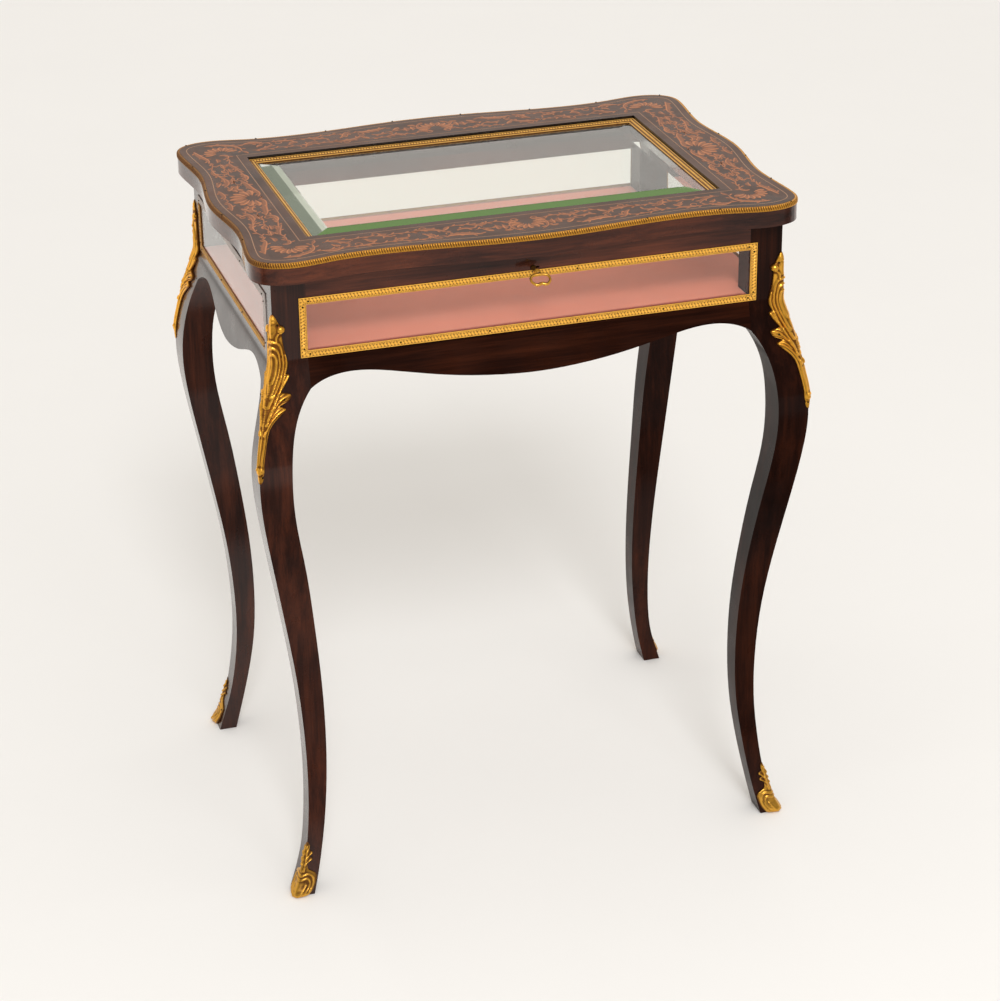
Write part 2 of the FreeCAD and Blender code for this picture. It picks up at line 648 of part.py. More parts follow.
# ---------------------------------------------------------------- lid
def lid_outline_points(inset=0.0):
    """Points of the lid's serpentine outline, moved inwards along the curve's normal."""
    quarter = [(LID_HALF_WIDTH - d * LID_WAVE_ENDS, t * LID_HALF_DEPTH)
               for t, d in LID_END_EDGE]
    quarter += [(LID_HALF_WIDTH - dx * LID_CORNER_SIZE, LID_HALF_DEPTH - dy * LID_CORNER_SIZE)
                for dx, dy in LID_CORNER]
    quarter += [(t * LID_HALF_WIDTH, LID_HALF_DEPTH - d * LID_WAVE_FRONT)
                for t, d in LID_FRONT_EDGE]
    half = quarter + [(-x, y) for x, y in reversed(quarter[:-1])]
    points = [V(x, y, 0) for x, y in half] + [V(x, -y, 0) for x, y in reversed(half[1:-1])]
    curve = Part.BSplineCurve()
    curve.interpolate(Points=points, PeriodicFlag=True)
    moved = []
    for point in points:
        tangent = curve.tangent(curve.parameter(point))[0]
        moved.append(point + V(-tangent.y, tangent.x, 0) * inset)
    return moved


def lid_slab(inset, z0, z1):
    """Slab with the lid's outline."""
    curve = Part.BSplineCurve()
    curve.interpolate(Points=lid_outline_points(inset), PeriodicFlag=True)
    face = Part.Face(Part.Wire([curve.toShape()]))
    face.translate(UP * z0)
    return face.extrude(UP * (z1 - z0))


def opening(shrink, z0, z1):
    """Block as wide and deep as the glass opening, made smaller all round."""
    x, y = OPEN_HALF_WIDTH - shrink, OPEN_HALF_DEPTH - shrink
    return block(-x, x, -y, y, z0, z1)


def lid_openings():
    """Half length and half depth of the opening, for the long and for the short sides."""
    return {"front": (OPEN_HALF_WIDTH, OPEN_HALF_DEPTH), "back": (OPEN_HALF_WIDTH, OPEN_HALF_DEPTH),
            "left": (OPEN_HALF_DEPTH, OPEN_HALF_WIDTH), "right": (OPEN_HALF_DEPTH, OPEN_HALF_WIDTH)}


def lid_rail(side, frame):
    """One of four rails that meet in mitres at the corners of the opening."""
    half, depth = lid_openings()[side]
    reach = LID_HALF_WIDTH
    wedge = prism_xy([(-half, depth), (half, depth), (half + reach, depth + reach),
                      (-half - reach, depth + reach)], LID_BOTTOM - 1, TABLE_HEIGHT + 1)
    ledge_end, ledge_edge = half - MOULDING_WIDTH, depth - MOULDING_WIDTH
    ledge = prism_xy([(-half, depth), (half, depth), (ledge_end, ledge_edge),
                      (-ledge_end, ledge_edge)], LID_BOTTOM - 1, TABLE_HEIGHT + 1)
    rail = frame.common(on_side(wedge.fuse(ledge), side))
    cuts = band_pin_holes()
    if side == "back":
        cuts += lid_hinge_pockets()
    if side == "front":
        cuts += link_pockets()
    return rail.cut(cuts).removeSplitter()


def lid_frame():
    """The lid's wood before it is divided: edge rebate, glass rebate and sight opening."""
    body = lid_slab(EDGE_BAND_PROUD, LID_BOTTOM, BAND_BOTTOM)
    body = body.fuse(lid_slab(EDGE_BAND_WIDTH, BAND_BOTTOM, TABLE_HEIGHT))
    body = body.cut(opening(MOULDING_WIDTH, LID_BOTTOM - 1, TABLE_HEIGHT + 1))
    return body.cut(opening(0.0, GLASS_BOTTOM, TABLE_HEIGHT + 1))


def lid_edge_band():
    """Brass band let into the upper edge of the lid."""
    band = lid_slab(0.0, BAND_BOTTOM, TABLE_HEIGHT)
    band = band.cut(lid_slab(EDGE_BAND_WIDTH, BAND_BOTTOM - 1, TABLE_HEIGHT + 1))
    return band.cut(band_pin_holes())


def band_pin_seats():
    """Seats of the upright pins along the middle of the edge band."""
    curve = Part.BSplineCurve()
    curve.interpolate(Points=lid_outline_points(EDGE_BAND_WIDTH / 2), PeriodicFlag=True)
    edge = curve.toShape()
    count = 4 * round(edge.Length / BAND_PIN_SPACING / 4)
    points = edge.discretize(Number=2 * count + 1)[1::2]
    return [point + UP * TABLE_HEIGHT for point in points]


def band_pin_holes():
    return [pin_hole(seat, -UP) for seat in band_pin_seats()]


def lid_pins():
    """Pins of the edge band."""
    return Part.makeCompound([pin(seat, -UP) for seat in band_pin_seats()])


def rectangle_wire(shrink, z):
    x, y = OPEN_HALF_WIDTH - shrink, OPEN_HALF_DEPTH - shrink
    corners = [V(-x, -y, z), V(x, -y, z), V(x, y, z), V(-x, y, z), V(-x, -y, z)]
    return Part.makePolygon(corners)


def lid_glass():
    """Plate glass with a wide bevel along its upper edge."""
    plate = opening(RUNNING, GLASS_BOTTOM, GLASS_EDGE_TOP)
    crown = Part.makeLoft([rectangle_wire(RUNNING, GLASS_EDGE_TOP),
                           rectangle_wire(RUNNING + GLASS_BEVEL_WIDTH, GLASS_TOP)], True, True)
    return plate.fuse(crown).removeSplitter()


def lid_moulding(side):
    """Brass moulding that holds the glass down: one mitred strip."""
    half, depth = lid_openings()[side]
    slope = (GLASS_TOP - GLASS_EDGE_TOP) / GLASS_BEVEL_WIDTH
    low_outer = GLASS_EDGE_TOP + SEAT
    low_inner = low_outer + slope * MOULDING_WIDTH
    high_outer = TABLE_HEIGHT - MOULDING_DEPTH_OUTER
    wall = depth - SEAT
    edge = depth - MOULDING_WIDTH
    high_inner = low_inner + MOULDING_EDGE_HEIGHT
    crown = V(0, (wall + edge) / 2, (high_outer + high_inner) / 2 + MOULDING_CROWN)
    top = Part.Arc(V(0, wall, high_outer), crown, V(0, edge, high_inner))
    rest = Part.makePolygon([V(0, edge, high_inner), V(0, edge, low_inner),
                             V(0, wall, low_outer), V(0, wall, high_outer)])
    section = Part.Face(Part.Wire([top.toShape()] + rest.Edges))
    section.translate(V(-half, 0, 0))
    strip = section.extrude(V(2 * half, 0, 0))
    short = 2 * MOULDING_WIDTH
    mitre = prism_xy([(-half, depth), (half, depth), (half - short, depth - short),
                      (short - half, depth - short)], GLASS_BOTTOM, TABLE_HEIGHT)
    return on_side(strip.common(mitre), side)


# ---------------------------------------------------------------- hinges
def knuckle_spans(x, first):
    """Start and end of every second knuckle along the pin, from the first or the second."""
    pitch = HINGE_LENGTH / HINGE_KNUCKLES
    start = x - HINGE_LENGTH / 2
    return [(start + i * pitch + SEAT, start + (i + 1) * pitch - SEAT)
            for i in range(first, HINGE_KNUCKLES, 2)]


def hinge_bar(radius, x0, x1):
    """Round bar on the hinges' axis."""
    return cylinder(radius, V(x0, HINGE_AXIS_Y, HINGE_AXIS_Z), V(x1, HINGE_AXIS_Y, HINGE_AXIS_Z))


def hinge_leaf(x, z0, z1, first):
    """Leaf between two heights, with its own knuckles round the pin."""
    plate = block(x - HINGE_LENGTH / 2, x + HINGE_LENGTH / 2, HALF_DEPTH - HINGE_LEAF_WIDTH,
                  HINGE_AXIS_Y, z0, z1)
    plate = plate.cut([hinge_bar(HINGE_KNUCKLE_RADIUS + RUNNING, start - 2 * SEAT, end + 2 * SEAT)
                       for start, end in knuckle_spans(x, 1 - first)])
    knuckles = [hinge_bar(HINGE_KNUCKLE_RADIUS, start, end)
                for start, end in knuckle_spans(x, first)]
    bore = hinge_bar(HINGE_PIN_RADIUS + BORE, x - HINGE_LENGTH, x + HINGE_LENGTH)
    return plate.fuse(knuckles).cut(bore)


def hinge_screw_places(x):
    reach = HINGE_LENGTH / 3
    return [(x + dx, HALF_DEPTH - HINGE_LEAF_WIDTH / 2) for dx in (-reach, 0, reach)]


def case_screw_seats(x):
    return [(V(px, py, CASE_TOP), -UP) for px, py in hinge_screw_places(x)]


def lid_screw_seats(x):
    return [(V(px, py, LID_BOTTOM), UP) for px, py in hinge_screw_places(x)]


def case_hinge_leaf(x):
    leaf = hinge_leaf(x, CASE_TOP - HINGE_LEAF_THICKNESS, CASE_TOP, 0)
    return leaf.cut([screw_hole(*seat) for seat in case_screw_seats(x)])


def lid_hinge_leaf(x):
    leaf = hinge_leaf(x, LID_BOTTOM, LID_BOTTOM + HINGE_LEAF_THICKNESS, 1)
    return leaf.cut([screw_hole(*seat) for seat in lid_screw_seats(x)])


def hinge_pin(x):
    return hinge_bar(HINGE_PIN_RADIUS, x - HINGE_LENGTH / 2, x + HINGE_LENGTH / 2)


def hinge_places():
    x = HALF_WIDTH - HINGE_FROM_END
    return {"left": -x, "right": x}


def leaf_pocket(x, z0, z1):
    """Recess for a leaf, open at the back of the case."""
    reach = HINGE_LENGTH / 2 + SEAT
    return block(x - reach, x + reach, HALF_DEPTH - HINGE_LEAF_WIDTH - SEAT,
                 HINGE_AXIS_Y + HINGE_KNUCKLE_RADIUS, z0, z1)


def case_hinge_pockets():
    cuts = []
    for x in hinge_places().values():
        cuts.append(leaf_pocket(x, CASE_TOP - HINGE_LEAF_THICKNESS, CASE_TOP + 1))
        cuts += [screw_hole(*seat) for seat in case_screw_seats(x)]
    return cuts


def lid_hinge_pockets():
    cuts = []
    groove = HINGE_KNUCKLE_RADIUS + RUNNING
    for x in hinge_places().values():
        reach = HINGE_LENGTH / 2 + RUNNING
        cuts.append(leaf_pocket(x, LID_BOTTOM - 1, LID_BOTTOM + HINGE_LEAF_THICKNESS))
        cuts.append(block(x - reach, x + reach, HINGE_AXIS_Y - groove, HINGE_AXIS_Y + groove,
                          LID_BOTTOM - 1, HINGE_AXIS_Z + groove))
        cuts += [screw_hole(*seat) for seat in lid_screw_seats(x)]
    return cuts


def screws(seats):
    return Part.makeCompound([screw(*seat) for seat in seats])


# ---------------------------------------------------------------- lock and key
def bolt_z():
    """Lower and upper edge of the bolt's bar."""
    return KEY_AXIS_Z + BOLT_FROM_KEY, KEY_AXIS_Z + BOLT_FROM_KEY + BOLT_BAR_HEIGHT


def guide_places():
    """The two pins that the bolt slides on."""
    low, high = bolt_z()
    reach = LINK_FROM_CENTRE + GUIDE_PIN_FROM_LINK
    return [V(-reach, 0, (low + high) / 2), V(reach, 0, (low + high) / 2)]


def across_lock(point, radius, y0, y1):
    """Round bar through the lock, from front to back."""
    return cylinder(radius, V(point.x, y0, point.z), V(point.x, y1, point.z))


def keyhole(radius, reach, y0, y1):
    """Round hole with a level slot for the key's bit."""
    hole = across_lock(V(0, 0, KEY_AXIS_Z), radius, y0, y1)
    half = KEY_BIT_THICKNESS / 2 + RUNNING
    return hole.fuse(block(0, reach, y0, y1, KEY_AXIS_Z - half, KEY_AXIS_Z + half))


def selvedge_screw_seats():
    x = (LOCK_WIDTH + SELVEDGE_WIDTH) / 4
    return [(V(side * x, BOLT_MIDDLE_Y, CASE_TOP), -UP) for side in (-1, 1)]


def link_places():
    return [-LINK_FROM_CENTRE, LINK_FROM_CENTRE]


def link_slots(z0, z1):
    """Slots in the lock's top plate for the two links."""
    half_x = LINK_THICKNESS / 2 + 2 * RUNNING
    half_y = LINK_WIDTH / 2 + 2 * RUNNING
    return [block(x - half_x, x + half_x, BOLT_MIDDLE_Y - half_y, BOLT_MIDDLE_Y + half_y, z0, z1)
            for x in link_places()]


def lock_case():
    """Box of the lock with its top plate, its guide pins and the pin that carries the key."""
    half = LOCK_WIDTH / 2
    low = CASE_TOP - LOCK_HEIGHT
    shell = block(-half, half, LOCK_OUTER_FACE + LOCK_CAP_THICKNESS, LOCK_INNER_FACE, low, CASE_TOP)
    cavity = block(-half + LOCK_WALL, half - LOCK_WALL, LOCK_OUTER_FACE,
                   LOCK_INNER_FACE - LOCK_WALL, low + LOCK_WALL, LOCK_CAVITY_TOP)
    edge = SELVEDGE_WIDTH / 2
    selvedge = block(-edge, edge, LOCK_OUTER_FACE, LOCK_INNER_FACE, LOCK_CAVITY_TOP, CASE_TOP)
    back = LOCK_INNER_FACE - LOCK_WALL / 2
    pins = [across_lock(place, GUIDE_PIN_RADIUS, LOCK_OUTER_FACE + LOCK_CAP_THICKNESS, back)
            for place in guide_places()]
    pins.append(across_lock(V(0, 0, KEY_AXIS_Z), DRILL_PIN_RADIUS,
                            LOCK_OUTER_FACE + LOCK_CAP_THICKNESS, back))
    body = shell.cut(cavity).fuse([selvedge] + pins)
    cuts = link_slots(LOCK_CAVITY_TOP - 1, CASE_TOP + 1)
    return body.cut(cuts + [screw_hole(*seat) for seat in selvedge_screw_seats()])


def lock_cap():
    """Plate that closes the lock towards the keyhole."""
    half = LOCK_WIDTH / 2
    plate = block(-half, half, LOCK_OUTER_FACE, LOCK_OUTER_FACE + LOCK_CAP_THICKNESS,
                  CASE_TOP - LOCK_HEIGHT, LOCK_CAVITY_TOP)
    return plate.cut(keyhole(KEY_STEM_RADIUS + RUNNING, KEY_BIT_REACH + RUNNING,
                             LOCK_OUTER_FACE - 1, LOCK_OUTER_FACE + LOCK_CAP_THICKNESS + 1))


def lock_bolt():
    """Sliding bolt: a bar with two hooks for the links and a notch for the key's bit."""
    low, high = bolt_z()
    y0, y1 = BOLT_MIDDLE_Y - BOLT_THICKNESS / 2, BOLT_MIDDLE_Y + BOLT_THICKNESS / 2
    body = block(BOLT_TRAVEL - BOLT_END, BOLT_END, y0, y1, low, high)
    tip = LINK_THICKNESS / 2 + HOOK_CLEARANCE + RUNNING
    riser = LINK_THICKNESS / 2 + BOLT_TRAVEL + HOOK_CLEARANCE
    half = LINK_WINDOW / 2 - HOOK_CLEARANCE
    hooks = []
    for x in link_places():
        hooks.append(block(x + tip, x + riser + BOLT_THICKNESS, y0, y1,
                           LINK_MIDDLE_Z - half, LINK_MIDDLE_Z + half))
        hooks.append(block(x + riser, x + riser + BOLT_THICKNESS, y0, y1, high - 1,
                           LINK_MIDDLE_Z + half))
    body = body.fuse(hooks)
    drive = KEY_BIT_THICKNESS / 2
    notch_top = KEY_AXIS_Z + KEY_BIT_REACH + 2 * RUNNING
    swing = math.sqrt(KEY_BIT_REACH ** 2 - BOLT_FROM_KEY ** 2)
    lag = BOLT_TRAVEL * math.asin(BOLT_FROM_KEY / KEY_BIT_REACH) / (math.pi / 2)
    cuts = [block(BOLT_TRAVEL - drive - RUNNING, swing + lag + drive + 2 * RUNNING, y0 - 1, y1 + 1,
                  low - 1, notch_top)]
    slot = GUIDE_PIN_RADIUS + 2 * SEAT
    for place in guide_places():
        cuts.append(block(place.x - slot, place.x + BOLT_TRAVEL + slot, y0 - 1, y1 + 1,
                          place.z - slot, place.z + slot))
    return body.cut(cuts).removeSplitter()


def lock_pockets():
    """Cuts in the front rail for the lock, its top plate, its screws and the key."""
    low = CASE_TOP - LOCK_HEIGHT
    half, edge = LOCK_WIDTH / 2 + SEAT, SELVEDGE_WIDTH / 2 + SEAT
    inside = LOCK_INNER_FACE + 1
    cuts = [block(-half, half, LOCK_OUTER_FACE - SEAT, inside, low - SEAT, CASE_TOP + 1),
            block(-edge, edge, LOCK_OUTER_FACE - SEAT, inside, LOCK_CAVITY_TOP - SEAT, CASE_TOP + 1),
            keyhole(KEY_STEM_RADIUS + 2 * RUNNING, KEY_BIT_REACH + 2 * RUNNING,
                    -HALF_DEPTH - 1, LOCK_OUTER_FACE + 1)]
    return cuts + [screw_hole(*seat) for seat in selvedge_screw_seats()]


def link_screw_seats():
    x = LINK_PLATE_LENGTH / 2 - LINK_SCREW_FROM_END
    return [(V(side * x, BOLT_MIDDLE_Y, LID_BOTTOM), UP) for side in (-1, 1)]


def link_plate():
    """Plate under the lid with the two links that the bolt's hooks enter."""
    half_x, half_y = LINK_PLATE_LENGTH / 2, LINK_PLATE_WIDTH / 2
    plate = block(-half_x, half_x, BOLT_MIDDLE_Y - half_y, BOLT_MIDDLE_Y + half_y,
                  LID_BOTTOM, LID_BOTTOM + LINK_PLATE_THICKNESS)
    links = [block(x - LINK_THICKNESS / 2, x + LINK_THICKNESS / 2, BOLT_MIDDLE_Y - LINK_WIDTH / 2,
                   BOLT_MIDDLE_Y + LINK_WIDTH / 2, LID_BOTTOM - LINK_DROP, LID_BOTTOM + 1)
             for x in link_places()]
    half = LINK_WINDOW / 2
    windows = [block(x - LINK_THICKNESS, x + LINK_THICKNESS, BOLT_MIDDLE_Y - half,
                     BOLT_MIDDLE_Y + half, LINK_MIDDLE_Z - half, LINK_MIDDLE_Z + half)
               for x in link_places()]
    cuts = windows + [screw_hole(*seat) for seat in link_screw_seats()]
    return plate.fuse(links).cut(cuts)


def link_pockets():
    """Recess and screw holes for the link plate, under the front rail of the lid."""
    half_x, half_y = LINK_PLATE_LENGTH / 2 + SEAT, LINK_PLATE_WIDTH / 2 + SEAT
    cuts = [block(-half_x, half_x, BOLT_MIDDLE_Y - half_y, BOLT_MIDDLE_Y + half_y,
                  LID_BOTTOM - 1, LID_BOTTOM + LINK_PLATE_THICKNESS)]
    return cuts + [screw_hole(*seat) for seat in link_screw_seats()]


def key_bow():
    """Pierced oval bow that hangs a little from the end of the stem."""
    root = V(0, -HALF_DEPTH - KEY_STEM_SHOWING, KEY_AXIS_Z)
    rings = []
    for shrink in (0.0, KEY_BOW_RIM):
        ellipse = Part.Ellipse(V(0, 0, 0), KEY_BOW_WIDTH / 2 - shrink, KEY_BOW_LENGTH / 2 - shrink)
        oval = Part.Face(Part.Wire([ellipse.toShape()]))
        oval.translate(root + V(0, -KEY_BOW_LENGTH / 2, -KEY_BOW_THICKNESS / 2))
        rings.append(oval.extrude(UP * KEY_BOW_THICKNESS))
    bow = rings[0].cut(rings[1])
    bow.rotate(root, V(1, 0, 0), KEY_BOW_DROOP)
    return bow


def key():
    """Pipe key: bow, collar, hollow stem and bit."""
    inner_end = LOCK_INNER_FACE - LOCK_WALL - 3 * RUNNING
    bow_edge = -HALF_DEPTH - KEY_STEM_SHOWING - KEY_BOW_RIM / 2
    axis = V(0, 0, KEY_AXIS_Z)
    stem = across_lock(axis, KEY_STEM_RADIUS, bow_edge, inner_end)
    collar_end = -HALF_DEPTH - KEY_STEM_SHOWING + KEY_BOW_RIM / 3
    collar = across_lock(axis, KEY_COLLAR_RADIUS, collar_end, collar_end + KEY_COLLAR_LENGTH)
    half = KEY_BIT_THICKNESS / 2
    bit_start = BOLT_MIDDLE_Y - KEY_BIT_LENGTH / 2
    bit = block(KEY_PIPE_RADIUS + half, KEY_BIT_REACH, bit_start, bit_start + KEY_BIT_LENGTH,
                KEY_AXIS_Z - half, KEY_AXIS_Z + half)
    pipe = across_lock(axis, KEY_PIPE_RADIUS, inner_end - KEY_PIPE_DEPTH, inner_end + 1)
    return key_bow().fuse([stem, collar, bit]).cut(pipe).removeSplitter()


# ---------------------------------------------------------------- all nodes
def build():
    """Every node of the table with its shape."""
    nodes = {}
    knee, sabot = knee_mount_shape(), sabot_shape()
    for corner in CORNERS:
        nodes["leg_" + corner] = leg(corner)
        nodes["knee_mount_" + corner] = bored_mount(knee, corner)
        nodes["sabot_" + corner] = bored_mount(sabot, corner)
    frame = lid_frame()
    for side in SIDES:
        nodes["top_rail_" + side] = top_rail(side)
        nodes["apron_" + side] = apron(side)
        nodes["pane_" + side] = pane(side)
        nodes["brass_frame_" + side] = brass_frame(side)
        nodes["lid_rail_" + side] = lid_rail(side, frame)
        nodes["lid_moulding_" + side] = lid_moulding(side)
    nodes["frame_pins"] = frame_pins()
    nodes["mount_pins"] = mount_pins()
    nodes["base_board"] = base_board()
    nodes["base_fillets"] = base_fillets()
    nodes["base_lining"] = base_lining()
    nodes["lid_glass"] = lid_glass()
    nodes["lid_edge_band"] = lid_edge_band()
    nodes["lid_pins"] = lid_pins()
    for name, x in hinge_places().items():
        nodes["case_hinge_leaf_" + name] = case_hinge_leaf(x)
        nodes["lid_hinge_leaf_" + name] = lid_hinge_leaf(x)
        nodes["hinge_pin_" + name] = hinge_pin(x)
    places = hinge_places().values()
    nodes["case_hinge_screws"] = screws([seat for x in places for seat in case_screw_seats(x)])
    nodes["lid_hinge_screws"] = screws([seat for x in places for seat in lid_screw_seats(x)])
    nodes["lock_case"] = lock_case()
    nodes["lock_cap"] = lock_cap()
    nodes["lock_bolt"] = lock_bolt()
    nodes["lock_screws"] = screws(selvedge_screw_seats())
    nodes["link_plate"] = link_plate()
    nodes["link_screws"] = screws(link_screw_seats())
    nodes["key"] = key()
    return nodes


def main():
    os.makedirs("parts", exist_ok=True)
    for name, shape in build().items():
        shape.exportStep("parts/" + name + ".step")


main()
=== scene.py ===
import math

import bmesh
import bpy
import numpy as np
from bpy.props import FloatProperty, FloatVectorProperty, PointerProperty
from mathutils import Matrix, Vector


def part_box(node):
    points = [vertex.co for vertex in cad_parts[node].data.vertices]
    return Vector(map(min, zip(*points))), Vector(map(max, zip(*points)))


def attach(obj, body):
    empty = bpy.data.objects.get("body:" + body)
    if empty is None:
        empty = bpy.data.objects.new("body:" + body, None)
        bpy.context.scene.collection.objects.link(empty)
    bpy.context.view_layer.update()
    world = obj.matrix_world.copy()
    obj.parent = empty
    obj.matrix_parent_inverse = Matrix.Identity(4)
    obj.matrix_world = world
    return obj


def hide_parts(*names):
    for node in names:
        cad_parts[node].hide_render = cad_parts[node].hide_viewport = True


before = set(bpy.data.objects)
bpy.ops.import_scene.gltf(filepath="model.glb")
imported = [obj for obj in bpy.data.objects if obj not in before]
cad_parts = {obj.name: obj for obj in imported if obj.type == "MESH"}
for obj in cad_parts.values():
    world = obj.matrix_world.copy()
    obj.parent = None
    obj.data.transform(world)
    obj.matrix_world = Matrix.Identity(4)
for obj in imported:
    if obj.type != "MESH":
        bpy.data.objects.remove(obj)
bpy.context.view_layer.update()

# A collectors display table: the gilt mounts, inlay, lining and finishes that dress the
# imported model.  Surfaces are worked out in millimetres in the table's own frame, with +Z up,
# the lock side towards -Y, and become metres when they turn into a mesh.

bl_info = {
    "name": "Collectors Display Table",
    "version": (1, 0, 0),
    "blender": (4, 5, 0),
    "location": "3D View > Sidebar > Display Table",
    "description": "Gilt mounts, inlay, lining and finishes of a glazed collectors table",
    "category": "Add Mesh",
}

MM = 0.001

# ---- sizes shared with the case
CASE_HALF_WIDTH, CASE_HALF_DEPTH = 285.5, 190.5
LEG_HEIGHT, LEG_SWING, FLARE_TOP = 654.0, 40.0, 646.0
LID_TOP = 760.0
OPENING_HALF_WIDTH, OPENING_HALF_DEPTH = 232.5, 138.0
GLASS_BEVEL = 30.0
BAND_BOTTOM = 754.5
MOULDING_WIDTH, MOULDING_OUTER_TOP, MOULDING_INNER_TOP = 9.5, 757.5, 755.2
MOULDING_BOTTOM = 753.7
STRIP_WIDTH = 8.0
SIGHT_BOTTOM, SIGHT_TOP = 654.0, 705.0
FRONT_SPAN, END_SPAN = 248.5, 157.0
PIN_SPACING, PIN_INSET = 97.0, 6.0
KNEE_TOP = 698.5

# Share of the leg's height, and how far its outer face stands out, as a share of the swing.
LEG_FRONT_VIEW = [(0, .200), (.069, -.138), (.138, -.320), (.214, -.403), (.306, -.375),
                  (.413, -.215), (.520, .057), (.627, .358), (.719, .600), (.810, .662),
                  (.902, .350), (.940, .185), (.970, .055)]
LEG_END_VIEW = [(0, .588), (.069, .395), (.138, .223), (.214, .013), (.306, -.102),
                (.413, -.082), (.520, .095), (.627, .375), (.719, .575), (.810, .650),
                (.902, .350), (.940, .185), (.970, .055)]

# One quarter of the lid's outline, from the middle of the side to the middle of the front.
LID_QUARTER = [(307.0, 0.0), (302.5, 48.0375), (298.0, 90.951), (301.0, 132.797),
               (304.8, 169.7325), (303.6, 187.0), (297.4, 198.3), (285.5, 206.5),
               (261.871, 211.1), (221.961, 204.8), (170.078, 201.0), (115.125, 204.3),
               (59.865, 210.6), (0.0, 213.5)]
SIDES = ("front", "right", "back", "left")
CORNERS = ("front_left", "front_right", "back_left", "back_right")



# ---- curves and meshes
def spline(points, count, closed=False, start=None, end=None):
    """Points along the cubic that runs through the given ones with an unbroken curvature.
    Its parameter is the length of the chords.  The slopes at the given points solve one
    linear system, and each span is the Hermite cubic between two points and slopes."""
    p = np.asarray(points, float)
    if closed:
        p = np.vstack([p, p[:1]])
    h = np.linalg.norm(np.diff(p, axis=0), axis=1)
    t = np.concatenate([[0.0], np.cumsum(h)])
    chord = np.diff(p, axis=0) / h[:, None]
    n = len(p)
    a, b = np.zeros((n, n)), np.zeros_like(p)
    i = np.arange(1, n - 1)
    a[i, i - 1], a[i, i], a[i, i + 1] = h[1:], 2 * (h[:-1] + h[1:]), h[:-1]
    b[1:-1] = 3 * (h[1:, None] * chord[:-1] + h[:-1, None] * chord[1:])
    if closed:
        a[0, 0], a[0, -1] = 1, -1
        a[-1, -2], a[-1, -1], a[-1, 1] = h[0], 2 * (h[0] + h[-1]), h[-1]
        b[-1] = 3 * (h[0] * chord[-1] + h[-1] * chord[0])
    else:
        a[0, :2], b[0] = ((2, 1), 3 * chord[0]) if start is None else ((1, 0), start)
        a[-1, -2:], b[-1] = ((1, 2), 3 * chord[-1]) if end is None else ((0, 1), end)
    m = np.linalg.solve(a, b)
    at = np.linspace(0, t[-1], count, endpoint=not closed)
    k = np.clip(np.searchsorted(t, at, side="right") - 1, 0, n - 2)
    s, w = ((at - t[k]) / h[k])[:, None], h[k][:, None]
    return ((2 * s**3 - 3 * s**2 + 1) * p[k] + (s**3 - 2 * s**2 + s) * w * m[k]
            + (3 * s**2 - 2 * s**3) * p[k + 1] + (s**3 - s**2) * w * m[k + 1])


def even(points, count, closed=False):
    """The same line with its points spread evenly by length, and that length."""
    p = np.vstack([points, points[:1]]) if closed else points
    t = np.concatenate([[0.0], np.cumsum(np.linalg.norm(np.diff(p, axis=0), axis=1))])
    at = np.linspace(0, t[-1], count, endpoint=not closed)
    return np.stack([np.interp(at, t, p[:, k]) for k in range(p.shape[1])], -1), t[-1]


def whole_outline(quarter):
    """The closed outline whose quarter runs from the +X axis to the +Y axis."""
    quarter = np.array(quarter)
    half = np.vstack([quarter, quarter[-2::-1] * (-1, 1)])
    return np.vstack([half, half[-2:0:-1] * (1, -1)])


def circle(count):
    """Angles spread evenly over a whole turn."""
    return np.linspace(0, 2 * np.pi, count, endpoint=False)


def fold_to_middle(x):
    """Distance to the nearest whole number, with its sign: a saw of period 1."""
    return x - np.round(x)


def left_normals(points, closed=False):
    """Unit vectors to the left of a flat line's direction."""
    if closed:
        d = np.roll(points, -1, 0) - np.roll(points, 1, 0)
    else:
        d = np.gradient(points, axis=0)
    d /= np.linalg.norm(d, axis=1, keepdims=True)
    return np.stack([-d[:, 1], d[:, 0]], -1)


def hump(x):
    """Half a cosine wave: 1 at 0, smoothly down to 0 at -1 and 1, and 0 beyond."""
    return np.cos(np.clip(x, -1, 1) * np.pi / 2) ** 2


def dome(x, y, radius):
    """Upper half of a ball of radius 1 over a disc of the given radius."""
    return np.sqrt(np.clip(1 - (x**2 + y**2) / radius**2, 0, 1))


